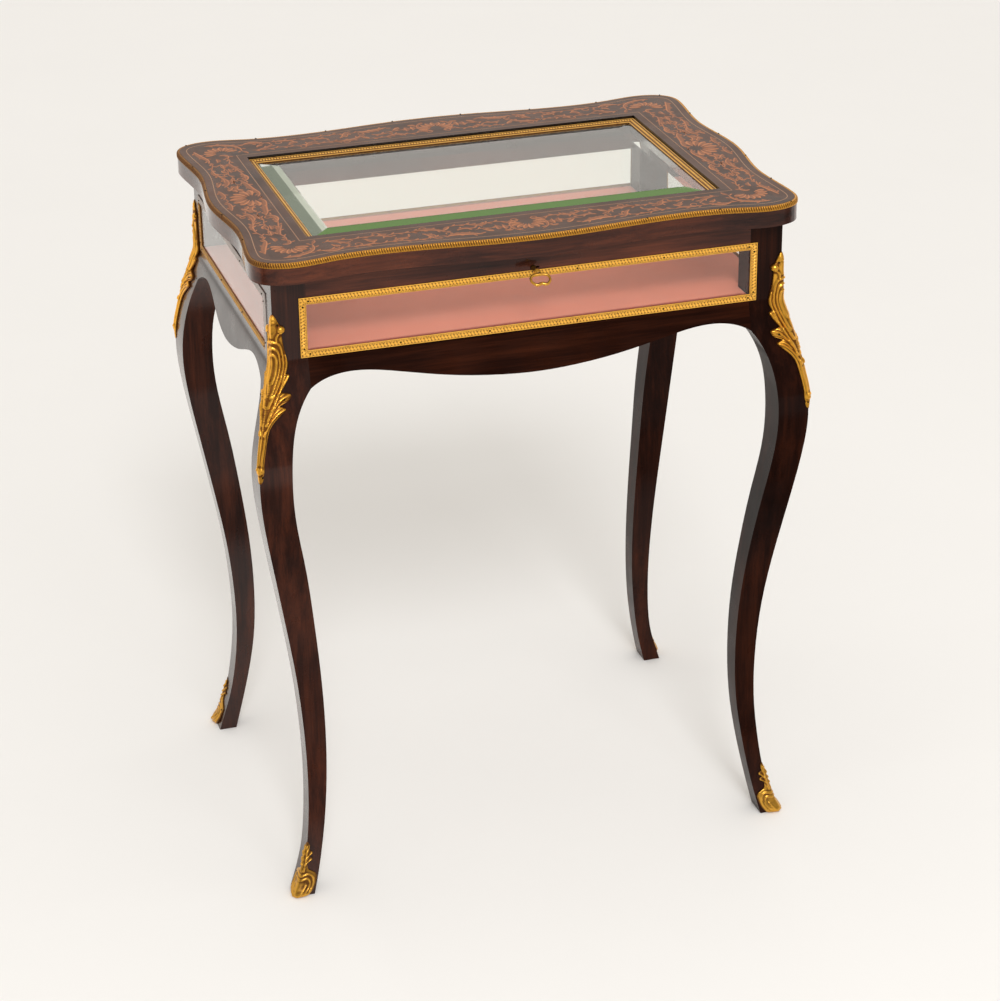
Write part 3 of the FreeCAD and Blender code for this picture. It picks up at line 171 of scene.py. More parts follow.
class Shell:
    """Gathers closed grids of points into one mesh, with numbers stored at each point."""

    def __init__(self):
        self.points, self.faces, self.values, self.count = [], [], [], 0

    def grid(self, points, wrap_u=False, **values):
        """Adds a grid whose second direction always closes on itself.  The first one closes
        too, or ends in two flat caps."""
        nu, nv = points.shape[:2]
        index = self.count + np.arange(nu * nv).reshape(nu, nv)
        ring = np.hstack([index, index[:, :1]])
        if wrap_u:
            ring = np.vstack([ring, ring[:1]])
        else:
            self.faces += [index[0].tolist(), index[-1][::-1].tolist()]
        quads = np.stack([ring[:-1, :-1], ring[1:, :-1], ring[1:, 1:], ring[:-1, 1:]], -1)
        self.faces += quads.reshape(-1, 4).tolist()
        self.points.append(points.reshape(-1, 3))
        flat = {k: np.broadcast_to(v, (nu, nv)).ravel() for k, v in values.items()}
        self.values.append(flat)
        self.count += nu * nv
        return self

    def piece(self, name, body, slot, finish, replaced=(), smooth=True):
        """Turns what was gathered into an object that rides on a body."""
        mesh = bpy.data.meshes.new(name)
        mesh.from_pydata(np.concatenate(self.points) * MM, [], self.faces)
        for key in self.values[0]:
            layer = mesh.attributes.new(key, "FLOAT", "POINT")
            layer.data.foreach_set("value", np.concatenate([v[key] for v in self.values]))
        work = bmesh.new()
        work.from_mesh(mesh)
        bmesh.ops.recalc_face_normals(work, faces=work.faces)
        work.to_mesh(mesh)
        work.free()
        mesh.polygons.foreach_set("use_smooth", [smooth] * len(mesh.polygons))
        mesh.materials.append(finish)
        obj = bpy.data.objects.new(name, mesh)
        bpy.context.scene.collection.objects.link(obj)
        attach(obj, body)
        if replaced:
            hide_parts(*replaced)
        return obj


# ---- finishes
class Wire:
    """A value in a material's nodes that is added, multiplied and compared as a number is."""

    def __init__(self, tree, socket):
        self.tree, self.socket = tree, socket

    def math(self, operation, *others):
        return self.tree.node("ShaderNodeMath", {"operation": operation},
                              dict(enumerate([self, *others])))

    def __add__(self, other):
        return self.math("ADD", other)

    __radd__ = __add__

    def __sub__(self, other):
        return self.math("SUBTRACT", other)

    def __rsub__(self, other):
        return self.tree.node("ShaderNodeMath", {"operation": "SUBTRACT"}, {0: other, 1: self})

    def __mul__(self, other):
        return self.math("MULTIPLY", other)

    __rmul__ = __mul__

    def __gt__(self, other):
        return self.math("GREATER_THAN", other)

    def __lt__(self, other):
        return self.math("LESS_THAN", other)

    def __abs__(self):
        return self.math("ABSOLUTE")

    def wave(self):
        return self.math("SINE")

    def step(self, low, high):
        """0 below low, 1 above high, and a smooth rise between."""
        return self.tree.node("ShaderNodeMapRange", {"interpolation_type": "SMOOTHSTEP"},
                              {"Value": self, "From Min": low, "From Max": high})


class Tree:
    """The nodes of one material or of the world."""

    def __init__(self, owner):
        owner.use_nodes = True
        self.owner, self.nodes, self.links = owner, owner.node_tree.nodes, owner.node_tree.links
        self.nodes.clear()

    def node(self, kind, settings=None, inputs=None, output=0):
        """Adds a node, sets it, feeds its sockets numbers or wires, and gives an output."""
        made = self.nodes.new(kind)
        for name, value in (settings or {}).items():
            if name == "stops":
                ramp = made.color_ramp.elements
                while len(ramp) < len(value):
                    ramp.new(0.5)
                for stop, (place, colour) in zip(ramp, value):
                    stop.position, stop.color = place, (*colour, 1)
            else:
                setattr(made, name, value)
        for name, value in (inputs or {}).items():
            if isinstance(value, Wire):
                self.links.new(value.socket, made.inputs[name])
            else:
                made.inputs[name].default_value = value
        return Wire(self, made.outputs[output]) if made.outputs else None

    def mix(self, share, first, second):
        """Colour between two others."""
        colours = [c if isinstance(c, Wire) else (*c, 1) for c in (first, second)]
        return self.node("ShaderNodeMix", {"data_type": "RGBA"},
                         {0: share, 6: colours[0], 7: colours[1]}, 2)

    def place(self, scale=(1, 1, 1), shift=(0, 0, 0)):
        """Object coordinates, stretched and shifted."""
        here = self.node("ShaderNodeTexCoord", output="Object")
        return self.node("ShaderNodeMapping", None,
                         {"Vector": here, "Scale": scale, "Location": shift})

    def axes(self):
        """X, Y and Z of the place in the object."""
        x = self.node("ShaderNodeSeparateXYZ", None,
                      {0: self.node("ShaderNodeTexCoord", output="Object")})
        return [Wire(self, socket) for socket in x.socket.node.outputs]

    def noise(self, where, scale, detail=4.0, roughness=0.55, distortion=0.0):
        return self.node("ShaderNodeTexNoise", None, {
            "Vector": where, "Scale": scale, "Detail": detail, "Roughness": roughness,
            "Distortion": distortion})

    def ramp(self, value, *stops):
        return self.node("ShaderNodeValToRGB", {"stops": stops}, {0: value})

    def stored(self, name):
        """Number stored at the points of a piece."""
        return self.node("ShaderNodeAttribute", {"attribute_name": name}, output="Fac")

    def bump(self, height, distance, strength):
        return self.node("ShaderNodeBump", None, {
            "Height": height, "Distance": distance, "Strength": strength})

    def principled(self, **sockets):
        inputs = {name.replace("_", " "): value for name, value in sockets.items()}
        return self.node("ShaderNodeBsdfPrincipled", None, inputs)

    def finish(self, shader):
        self.node("ShaderNodeOutputMaterial", None, {"Surface": shader})
        return self.owner


def material(name):
    return Tree(bpy.data.materials.new(name))


def tint(name):
    """A colour that the panel holds."""
    return tuple(getattr(bpy.context.scene.display_table_colours, name))


def size_mm(name):
    """A size that the panel holds, in millimetres."""
    return getattr(bpy.context.scene.display_table_sizes, name) / MM


def toned(colour, factor):
    return tuple(factor * c for c in colour)


# Of the three colours below, the first is black painted as shade on the wall round the lid's
# opening.
# Of the three colours below, the second is pale metal painted as a reflection on the left
# frame's top and front strips.
# Of the three colours below, the third is dark red painted as shade along the lining's front
# and back edges.
PAINTED_SHADE_BLACK, PAINTED_PALE_REFLECTION, PAINTED_EDGE_SHADE = (.006, .003, .002), (.56, .50, .47), (.36, .045, .022)
GRAIN_ALONG = {"x": (0.045, 1, 1), "y": (1, 0.045, 1), "z": (1, 1, 0.03)}


def polished_rosewood(name, grain, lift, shift, coat, gloss, veneer=None):
    """French-polished rosewood: broad red streaks and fine dark pores drawn out along the
    grain, under a clear coat.  The lift makes it lighter or darker.  A veneer, given as two
    colours, covers the top of the lid, whose wall round the opening is painted black as shade."""
    t = material(name)
    along = GRAIN_ALONG[grain]
    streaks = t.noise(t.place(along, shift=(shift, shift, shift)), 95.0, 6.0, 0.62, 0.1)
    fine = t.noise(t.place(along, shift=(0, shift, 0)), 560.0, 3.0, 0.6)
    clouds = t.noise(t.place(shift=(shift, 0, 0)), 7.0, 2.0)
    figure = streaks * 0.5 + fine * 0.16 + clouds * 0.34
    pores = t.noise(t.place(tuple(0.5 * k if k < 1 else k for k in along)), 1500.0, 2.0)

    def figured(low, high):
        black = toned(low, 0.4)
        between = tuple(0.6 * a + 0.4 * b for a, b in zip(low, high))
        colour = t.ramp(figure, (0.34, black), (0.46, low), (0.58, between), (0.74, high))
        return t.mix(pores.step(0.56, 0.7) * 0.4, colour, black)

    colour = figured(toned(tint("rosewood_dark"), lift), toned(tint("rosewood_warm"), lift))
    if veneer:
        x, y, z = t.axes()
        top = z > (LID_TOP - 0.1) * MM
        # The wall round the opening is painted black, as the shade that falls in it.
        wall = ((abs(x) < (OPENING_HALF_WIDTH + 0.3) * MM)
                * (abs(y) < (OPENING_HALF_DEPTH + 0.3) * MM))
        colour = t.mix(wall, t.mix(top, colour, figured(*veneer)), PAINTED_SHADE_BLACK)
        coat = (1 - top) * coat
    wear = t.noise(t.place(), 30.0, 3.0)
    return t.finish(t.principled(
        Base_Color=colour, Roughness=wear.step(0.3, 0.7) * 0.1 + 0.26,
        Coat_Weight=coat, Coat_Roughness=0.08, Coat_IOR=1.3, Specular_IOR_Level=gloss,
        Normal=t.bump(pores, 0.00004, 0.25)))


def plain_wood(name, light, dark):
    """Unpolished secondary wood with soft straight grain."""
    t = material(name)
    figure = t.noise(t.place((0.06, 1, 1)), 90.0, 5.0, 0.6)
    fine = t.noise(t.place((0.05, 1, 1)), 700.0, 2.0)
    colour = t.ramp(figure * 0.75 + fine * 0.25, (0.38, dark), (0.62, light))
    return t.finish(t.principled(Base_Color=colour, Roughness=fine * 0.2 + 0.6,
                                 Normal=t.bump(fine, 0.0001, 0.4)))


def gilt_brass(name, bright, shade, rough=0.34, shine=0.6):
    """Matt-gilt bronze: bright on its high places, tarnished brown in its hollows and painted
    brown as shade where a piece marks it, and painted pale as a reflection where a piece marks
    that."""
    t = material(name)
    stain = t.noise(t.place(), 160.0, 4.0, 0.6)
    grit = t.noise(t.place(), 1800.0, 2.0)
    # One stored number marks both the tarnished hollows and painted shade.
    hollow = (stain.step(0.5, 0.8) * 0.3 + t.stored("hollow") * 0.85).step(0.0, 1.0)
    # Where a piece marks it, the gilding is painted pale as a reflection, and made rougher.
    colour = t.mix(t.stored("worn"), t.mix(hollow, bright, shade), PAINTED_PALE_REFLECTION)
    return t.finish(t.principled(
        Base_Color=colour, Metallic=shine,
        Roughness=hollow * 0.2 + t.stored("worn") * 0.3 + rough,
        Normal=t.bump(grit, 0.00003, 0.35)))


def metal(name, colour, dark, rough):
    """Plain metal with a faint brushed unevenness."""
    t = material(name)
    spots = t.noise(t.place(), 380.0, 4.0, 0.65)
    return t.finish(t.principled(
        Base_Color=t.mix(spots.step(0.42, 0.7), colour, dark), Metallic=1.0,
        Roughness=spots * 0.2 + rough, Normal=t.bump(spots, 0.00004, 0.3)))


def lets_light_through(t, glass):
    """Light of the lamps and of the room passes the glass straight, as it does a window."""
    lamp = t.node("ShaderNodeLightPath", output="Is Shadow Ray")
    soft = Wire(t, lamp.socket.node.outputs["Is Diffuse Ray"])
    clear = t.node("ShaderNodeBsdfTransparent", None, {"Color": (0.95, 0.96, 0.94, 1)})
    return t.node("ShaderNodeMixShader", None,
                  {0: lamp.math("MAXIMUM", soft), 1: glass, 2: clear})


def pane_glass(name):
    """Old drawn sheet glass, very slightly uneven."""
    t = material(name)
    waves = t.noise(t.place(), 16.0, 1.0)
    glass = t.principled(Base_Color=(0.96, 0.98, 0.965, 1), Roughness=0.0, IOR=1.5,
                         Transmission_Weight=1.0, Normal=t.bump(waves, 0.0004, 0.12))
    return t.finish(lets_light_through(t, glass))


# colours painted on the left bevel for what it shows: its ground, a pale strip along its inner
# edge, and a bright glint
LEFT_BEVEL, LEFT_BEVEL_INNER = (.12, .155, .105), (.42, .47, .38)
LEFT_BEVEL_GLINT = (.66, .68, .64)


def bevelled_glass(name, front_tint):
    """Plate glass whose ground bevels are painted with what they show by refraction and
    reflection: the green of the glass's edge, most on the front, and on the left a grey-green
    ground, a pale strip along its inner edge and a bright glint near the back.  Each bevel ends
    in mitres, where two edges of the opening are equally far."""
    t = material(name)
    x, y, _ = t.axes()
    edge_x, edge_y = OPENING_HALF_WIDTH * MM, OPENING_HALF_DEPTH * MM
    bevel = GLASS_BEVEL * MM
    to_side, to_front = x + edge_x, y + edge_y
    front = (to_front < bevel) * (to_front < to_side) * (to_front < edge_x - x)
    side = (to_side < bevel) * (to_side < to_front + 1e-5) * (to_side < edge_y - y)
    inner = side * (to_side > 0.76 * bevel)
    glint = side * (edge_y - y < 0.75 * bevel) * (to_side > 0.38 * bevel)
    ripple = t.noise(t.place((1, 0.05, 1)), 160.0, 2.0)
    glass = t.principled(Base_Color=(0.975, 0.985, 0.935, 1), Roughness=0.0, IOR=1.5,
                         Transmission_Weight=1.0)
    # The bevels' colours are painted for what they show by refraction and reflection, with a
    # painted glint on the left.
    left = t.mix(glint, t.mix(inner, LEFT_BEVEL, LEFT_BEVEL_INNER), LEFT_BEVEL_GLINT)
    green = t.mix(ripple * 0.5, front_tint, toned(front_tint, 0.8))
    tinted = t.principled(Base_Color=t.mix(front, left, green), Roughness=0.12,
                          Specular_IOR_Level=0.2)
    share = front * 0.93 + side * 0.82 - inner * 0.22
    both = t.node("ShaderNodeMixShader", None, {0: share, 1: glass, 2: tinted})
    return t.finish(lets_light_through(t, both))


def pink_cloth(name, colour, shade):
    """Plain-woven pink cloth: fine crossed threads over a faint unevenness of dye, with a dark
    red band painted as shade along its front and back edges."""
    t = material(name)
    x, y, _ = t.axes()
    threads = (x * 9000.0).wave() * (y * 9000.0).wave()
    dye = t.noise(t.place(), 14.0, 5.0, 0.6)
    slub = t.noise(t.place((0.05, 1, 1)), 900.0, 2.0)
    colour = t.mix(dye.step(0.35, 0.7) * 0.5 + slub * 0.3, colour, shade)
    # A band along the front and back edges is painted dark red, as shade.
    colour = t.mix(t.stored("fold"), colour, PAINTED_EDGE_SHADE)
    return t.finish(t.principled(
        Base_Color=colour, Roughness=slub * 0.1 + 0.8, Sheen_Weight=0.25, Sheen_Roughness=0.4,
        Normal=t.bump(threads + slub, 0.00008, 0.35)))


def inlay(name, light, deep):
    """Sand-shaded marquetry: every piece has its own tone, darker towards its scorched edge,
    with its grain along it and the engraver's line down its middle."""
    t = material(name)
    tone, across = t.stored("tone"), t.stored("across")
    grain = t.noise(t.place(), 900.0, 3.0)
    colour = t.mix(tone * 0.8 + grain * 0.25, light, deep)
    scorched = toned(deep, 0.22)
    colour = t.mix(across.step(0.15, 1.0) * 0.62, colour, scorched)
    vein = t.stored("vein").step(0.5, 1.0) * 0.5
    colour = t.mix(vein, colour, scorched)
    return t.finish(t.principled(
        Base_Color=colour, Roughness=grain * 0.1 + 0.3, Specular_IOR_Level=0.2))


def studio_floor(name, colour):
    """Pale matt floor that keeps the table's shadow.  Gloss that mirrors it in front of the
    table finds the unlit end of the studio, with a lighter pool beyond the first metre."""
    t = material(name)
    mottle = t.noise(t.place(), 3.0, 4.0, 0.6)
    pale = t.mix(mottle, colour, toned(colour, 0.975))
    y = t.axes()[1]
    mirrored = t.node("ShaderNodeLightPath", output="Is Glossy Ray")
    pool = y.step(-1.1, -1.45) * (1 - y.step(-2.3, -2.9))
    unlit = mirrored * y.step(-0.25, -0.65) * (1 - pool * 0.6)
    return t.finish(t.principled(Base_Color=t.mix(unlit, pale, (.05, .042, .036)),
                                 Roughness=mottle * 0.1 + 0.55, Specular_IOR_Level=0.2))


def dress(finish, *nodes):
    """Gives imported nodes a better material."""
    for node in nodes:
        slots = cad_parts[node].data.materials
        slots.clear()
        slots.append(finish)


# ---- user's sizes and colours
def length_property(name, description, default, low):
    return FloatProperty(name=name, description=description, default=default, min=low,
                         unit="LENGTH")


class DisplayTableSizes(bpy.types.PropertyGroup):
    strip_relief: length_property(
        "Strip relief", "Height of the leaf pattern on the gilt strips", 0.8 * MM, 0.0)
    leaf_pitch: length_property(
        "Leaf pitch", "Length of one leaf on the gilt strips", 3.7 * MM, 2 * MM)
    rib_pitch: length_property(
        "Rib pitch", "Length of one rib on the band round the lid", 2.7 * MM, 1 * MM)
    inlay_proud: length_property(
        "Inlay height", "How far the inlay stands over the veneer", 0.04 * MM, 0.0)
    camera_distance: length_property(
        "Camera distance", "Camera to the middle of the table", 3.357884, 1.0)


def colour_property(name, description, default):
    return FloatVectorProperty(name=name, description=description, default=default,
                               subtype="COLOR", min=0.0, max=1.0)


class DisplayTableColours(bpy.types.PropertyGroup):
    rosewood_dark: colour_property("Rosewood, dark", "Ground of the wood", (.016, .0040, .0020))
    rosewood_warm: colour_property("Rosewood, warm", "Red streaks", (.070, .0165, .0060))
    veneer_dark: colour_property("Veneer, dark", "Ground of the lid's top", (.06, .0235, .0125))
    veneer_warm: colour_property("Veneer, warm", "Streaks of the lid's top", (.135, .05, .0235))
    gilt: colour_property("Gilt", "Bright gilding", (.96, .50, .068))
    # Colour of the tarnished hollows of the gilding, also used as painted shade on the left
    # frame and at the glass moulding's foot.
    patina_and_painted_shade: colour_property("Patina", "Hollows of the gilding", (.16, .053, .007))
    aged_brass: colour_property("Aged brass", "Dark heads of the pins", (.22, .12, .04))
    lining: colour_property("Lining", "Pink cloth", (1.0, .288, .186))
    inlay_light: colour_property("Inlay, light", "Palest inlay", (.50, .175, .062))
    inlay_deep: colour_property("Inlay, deep", "Darkest inlay", (.30, .095, .034))
    # The green painted on the front bevel for the glass's edge that it shows by refraction.
    bevel: colour_property("Bevel", "Green of the front bevel", (.085, .185, .030))


# ---- woodwork
# lightness, weight of the clear coat and gloss of each leg
LEG_POLISH = ((1.45, 0.9, 0.2), (0.7, 0.2, 0.07), (1.25, 0.9, 0.2), (1.0, 0.2, 0.07))
# lightness of each kind of rail, and its coat and gloss on the front and back; the ends of
# the table have the same coat and gloss on every rail
RAIL_POLISH = {"apron": (0.78, 0.0, 0.04), "top_rail": (2.6, 0.9, 0.2),
               "lid_rail": (2.3, 0.9, 0.2)}
END_COAT, END_GLOSS = 0.95, 0.2


class DISPLAYTABLE_OT_woodwork(bpy.types.Operator):
    """Polish the rosewood and finish the plain wood under the case"""
    bl_idname = "display_table.woodwork"
    bl_label = "Woodwork"

    def execute(self, context):
        for number, (corner, (lift, coat, gloss)) in enumerate(zip(CORNERS, LEG_POLISH)):
            dress(polished_rosewood("rosewood_leg_" + corner, "z", lift, 0.37 * number, coat,
                                    gloss), "leg_" + corner)
        veneer = tint("veneer_dark"), tint("veneer_warm")
        for number, side in enumerate(("front", "back", "left", "right")):
            grain, ends = ("x", "y")[number // 2], (END_COAT, END_GLOSS)
            for piece, (lift, *faces) in RAIL_POLISH.items():
                name = piece + "_" + side
                coat, gloss = faces if grain == "x" else ends
                dress(polished_rosewood("rosewood_" + name, grain, lift, 0.61 * number + lift,
                                        coat, gloss, veneer if piece == "lid_rail" else None),
                      name)
        dress(plain_wood("carcass_wood", (.30, .18, .09), (.17, .09, .04)),
              "base_board", "base_fillets")
        return {"FINISHED"}


# ---- glass and small metal
class DISPLAYTABLE_OT_glazing(bpy.types.Operator):
    """Glaze the case and the lid"""
    bl_idname = "display_table.glazing"
    bl_label = "Glazing"

    def execute(self, context):
        dress(pane_glass("sheet_glass"), *("pane_" + side for side in SIDES))
        dress(bevelled_glass("plate_glass", tint("bevel")), "lid_glass")
        return {"FINISHED"}


class DISPLAYTABLE_OT_fittings(bpy.types.Operator):
    """Finish the hinges, lock, screws and pins"""
    bl_idname = "display_table.fittings"
    bl_label = "Fittings"

    def execute(self, context):
        dress(metal("dark_pins", toned(tint("aged_brass"), 0.35), (.02, .012, .006), 0.35),
              "frame_pins", "mount_pins", "lid_pins")
        dress(metal("hinge_brass", (.55, .38, .16), (.30, .19, .07), 0.3),
              "case_hinge_leaf_left", "case_hinge_leaf_right", "lid_hinge_leaf_left",
              "lid_hinge_leaf_right", "hinge_pin_left", "hinge_pin_right",
              "case_hinge_screws", "lid_hinge_screws", "link_plate", "link_screws")
        dress(metal("lock_steel", (.42, .41, .40), (.25, .24, .23), 0.3),
              "lock_case", "lock_cap", "lock_bolt", "lock_screws")
        return {"FINISHED"}


KEY_ROOT_Y, KEY_AXIS_Z, KEY_DROOP = -208.5, 715.5, math.radians(31.0)
# place along the stem and radius, from the bottom of the pipe round its mouth to the collar
KEY_PROFILE = [(-184.9, 0.02), (-184.9, 1.28), (-170.7, 1.28), (-170.6, 1.4), (-170.6, 2.3),
               (-170.8, 2.4), (-191.5, 2.4), (-192.2, 2.9), (-193.0, 2.4), (-201.6, 2.3),
               (-202.4, 2.6), (-203.4, 3.5), (-205.0, 3.7), (-206.8, 3.5), (-207.8, 2.6),
               (-208.2, 2.2), (-208.8, 2.9), (-209.6, 2.9), (-210.2, 2.0), (-210.8, 0.4)]
KEY_BIT = ((-177, -.8), (-172, -.8), (-172, .8), (-177, .8))
KEY_BOW = [(0, 2.0), (5.0, 2.2), (9.4, 4.6), (10.5, 8.8), (8.6, 13.2), (4.6, 15.6),
           (0, 14.2)]


class DISPLAYTABLE_OT_key(bpy.types.Operator):
    """Make the key with its turned stem and kidney-shaped bow"""
    bl_idname = "display_table.key"
    bl_label = "Key"

    def execute(self, context):
        bronze = gilt_brass("key_bronze", (.86, .43, .06), (.045, .013, .004), rough=0.22)
        shell = Shell()
        along, radius = np.array(KEY_PROFILE).T
        turn = circle(28)
        x, z = radius[:, None] * np.cos(turn), KEY_AXIS_Z + radius[:, None] * np.sin(turn)
        shell.grid(np.stack([x, np.broadcast_to(along[:, None], x.shape), z], -1),
                   # The stem is painted dark as shade all along, but for the swellings of its
                   # collar, which are painted bright as highlights.
                   hollow=np.where((radius < 2.5) | (along > -203), 0.9, 0.1)[:, None])
        bit = np.array([[[x, y, KEY_AXIS_Z + z] for y, z in KEY_BIT] for x in (2.0, 6.5)])
        shell.grid(bit, hollow=0.0)
        half = np.array(KEY_BOW)
        loop = np.vstack([half, half[-2:0:-1] * (-1, 1)])
        ring, _ = even(spline(loop, 400, closed=True), 64, closed=True)
        out = left_normals(ring, closed=True)
        swell = 1.6 + 0.25 * np.cos(2 * circle(64))[:, None]
        turn = circle(12)
        flat = ring[:, None] + out[:, None] * (swell * np.cos(turn))[..., None]
        lift = swell * np.sin(turn)
        reach, cos, sin = flat[..., 1], math.cos(KEY_DROOP), math.sin(KEY_DROOP)
        # The bow's wire is painted bright on its side turned away from the lock and dark on the
        # side towards it, as highlight and shade.
        shell.grid(np.stack([flat[..., 0], KEY_ROOT_Y - reach * cos + lift * sin,
                             KEY_AXIS_Z - reach * sin - lift * cos], -1), wrap_u=True,
                   hollow=np.clip(0.5 - 0.75 * out[:, None, 1] * np.cos(turn), 0, 1))
        shell.piece("key_with_bow", "key", "aged_brass", bronze, ["key"])
        return {"FINISHED"}


# ---- gilt strips round the panes
def spread(first, last, spacing):
    """Evenly spaced places from first to last, about one spacing apart."""
    return np.linspace(first, last, max(1, round((last - first) / spacing)) + 1)


def pin_places(half, low, high):
    """Where the pins stand along the strips of one frame, as (across, height)."""
    reach = half + STRIP_WIDTH / 2 - PIN_INSET
    across = spread(-reach, reach, PIN_SPACING)
    upright = half + STRIP_WIDTH / 2
    ends = np.array([low + PIN_INSET, high - PIN_INSET])
    rows = [np.stack([across, np.full(len(across), z)], -1) for z in (low, high)]
    posts = [np.stack([np.full(2, x), ends], -1) for x in (-upright, upright)]
    return np.concatenate(rows + posts)


def leaf_strip(along, inward, pitch):
    """Height over a gilt strip, from 0 to 1: a plain fillet along both edges, and between
    them a row of slanting leaves, each parted by its vein, and a row of small beads."""
    phase = fold_to_middle((along + 0.45 * inward) / pitch)
    leaf = dome(phase * pitch, 0.8 * (inward - 3.2), 0.47 * pitch)
    leaf *= 1 - 0.5 * hump(phase / 0.13) * hump((inward - 3.6) / 2.0)
    bead = dome(fold_to_middle(2 * along / pitch) * pitch / 2, inward - 6.0, 0.8)
    fillets = np.maximum(hump((inward - 0.5) / 0.8), hump((inward - 7.5) / 0.7))
    return np.maximum(np.maximum(leaf, 0.75 * bead), 0.7 * fillets)


def rectangle_ring(half_a, half_b, inward, step):
    """Grid that runs once round a rectangle.  Each side's points lie between its two mitres,
    so a point's place along the side shrinks evenly as it moves inwards.  Gives the places
    (a, b), and the distance along the side, for every step round and every inward one."""
    places, along = [], []
    for side, (length, depth) in enumerate(2 * [(half_a, half_b), (half_b, half_a)]):
        s = np.linspace(-1, 1, max(8, round(2 * length / step)), endpoint=False)
        run = s[:, None] * (length - inward)
        out = np.broadcast_to(depth - inward, run.shape)
        c, d = (1, 0, -1, 0)[side], (0, 1, 0, -1)[side]
        places.append(np.stack([c * run + d * out, d * run - c * out], -1))
        along.append(run)
    return np.concatenate(places), np.concatenate(along)


# place inwards over the strip, share of its rise there, the thickness of its plain metal,
# the radius and height that the pattern leaves flat round each pin, and the grid's step
STRIP_INWARD = np.array([0, 0, .3, .7, 1.2, 1.8, 2.5, 3.2, 3.9, 4.5, 5, 5.5, 6, 6.5, 7, 7.4,
                         7.8, 8, 8])
STRIP_LIFT = np.array([0, .75] + 14 * [1] + [.8, .6, 0])
STRIP_METAL, PIN_SEAT, PIN_SEAT_HEIGHT, STRIP_STEP = 0.9, 1.9, 0.55, 0.46


class DISPLAYTABLE_OT_gilt_frames(bpy.types.Operator):
    """Make the four leaf-patterned frames that hold the panes"""
    bl_idname = "display_table.gilt_frames"
    bl_label = "Gilt frames"

    def execute(self, context):
        gilt = gilt_brass("gilt_strip", tint("gilt"), tint("patina_and_painted_shade"), rough=0.3, shine=0.3)
        middle, half_height = (SIGHT_BOTTOM + SIGHT_TOP) / 2, (SIGHT_TOP - SIGHT_BOTTOM) / 2
        for turn, side in enumerate(SIDES):
            span, face = ((FRONT_SPAN, CASE_HALF_DEPTH), (END_SPAN, CASE_HALF_WIDTH))[turn % 2]
            places, along = rectangle_ring(span + STRIP_WIDTH, half_height + STRIP_WIDTH,
                                           STRIP_INWARD, STRIP_STEP)
            pattern = leaf_strip(along, STRIP_INWARD, size_mm("leaf_pitch"))
            pins = pin_places(span, -half_height - STRIP_WIDTH / 2,
                              half_height + STRIP_WIDTH / 2)
            gaps = np.linalg.norm(places[:, :, None] - pins, axis=-1).min(-1)
            pattern = np.where(gaps < PIN_SEAT, PIN_SEAT_HEIGHT, pattern)
            relief = size_mm("strip_relief") * pattern * (STRIP_LIFT > 0.7)
            out = face + STRIP_LIFT * (STRIP_METAL + relief)
            a, z = places[..., 0], middle + places[..., 1]
            x, y = ((a, -out), (out, a), (-a, out), (-out, -a))[turn]
            hollow = np.clip(1 - 1.5 * pattern, 0, 1)
            worn = 0.0
            # On the left frame the top and front strips are painted pale, as a reflection.
            if side == "left":
                near_top, near_front = z > SIGHT_TOP - 0.1, y < -END_SPAN + 0.1
                worn = (near_top | near_front) * 1.0
                # The left frame's strips are painted darker all over, as shade, except where
                # painted pale as a reflection.
                hollow = np.clip(hollow + 0.45, 0, 1) * (1 - worn)
            Shell().grid(np.stack([x, y, z], -1), wrap_u=True, hollow=hollow, worn=worn).piece(
                "gilt_frame_" + side, "case", "gilt_brass", gilt, ["brass_frame_" + side])
        return {"FINISHED"}


# ---- lid
def lid_outline(count):
    """Points evenly along the lid's outline, its outward normals, and its length."""
    loop = spline(whole_outline(LID_QUARTER), 2400, closed=True)
    points, length = even(loop, count, closed=True)
    return points, -left_normals(points, closed=True), length


# inset from the lid's outline, height, and share of the ribs' depth, once round the band
BAND_SECTION = [(0.8, 754.5, 0.0), (0.15, 754.6, 0.0), (0.0, 755.3, 0.4), (0.0, 756.4, 1.0),
                (0.0, 757.6, 1.0), (0.15, 758.7, 1.0), (0.6, 759.5, 1.0), (1.3, 759.9, 0.8),
                (2.0, 759.9, 0.3), (2.5, 759.6, 0.0), (3.0, 759.9, 0.2), (3.45, 759.8, 0.0),
                (3.5, 759.0, 0.0), (3.5, 754.5, 0.0)]
# grid steps a rib, its slant in turns a millimetre, and the depth of the grooves
RIB_STEPS, RIB_SLANT, RIB_DEPTH = 6, 0.16, 0.7


class DISPLAYTABLE_OT_edge_band(bpy.types.Operator):
    """Make the ribbed gilt band let into the edge of the lid"""
    bl_idname = "display_table.edge_band"
    bl_label = "Edge band"

    def execute(self, context):
        gilt = gilt_brass("gilt_band", (.72, .33, .034), (.10, .030, .004))
        ribs = round(lid_outline(1200)[2] / size_mm("rib_pitch"))
        points, normals, _ = lid_outline(ribs * RIB_STEPS)
        inset, height, share = np.array(BAND_SECTION).T
        slant = RIB_SLANT * (height - BAND_BOTTOM - inset)
        turn = np.arange(len(points))[:, None] / RIB_STEPS + slant
        rib = np.abs(np.sin(np.pi * turn)) ** 0.8
        sunk = inset + share * RIB_DEPTH * (1 - rib)
        flat = points[:, None] - normals[:, None] * sunk[..., None]
        z = np.broadcast_to(height - share * 0.12 * (1 - rib), sunk.shape)
        # Painted shade: the band is darker where it faces left, and a little all round.
        painted_shade = 0.55 * np.clip(-normals[:, :1], 0, 1) + 0.12
        Shell().grid(np.dstack([flat, z]), wrap_u=True,
                     hollow=share * 1.3 * (1 - rib) + painted_shade).piece(
            "gilt_edge_band", "lid", "gilt_brass", gilt, ["lid_edge_band"])
        return {"FINISHED"}


# rise of the moulding's middle, length of one of its beads, and the grid's step
MOULDING_CROWN, BEAD_PITCH, MOULDING_STEP = 0.7, 3.3, 0.6


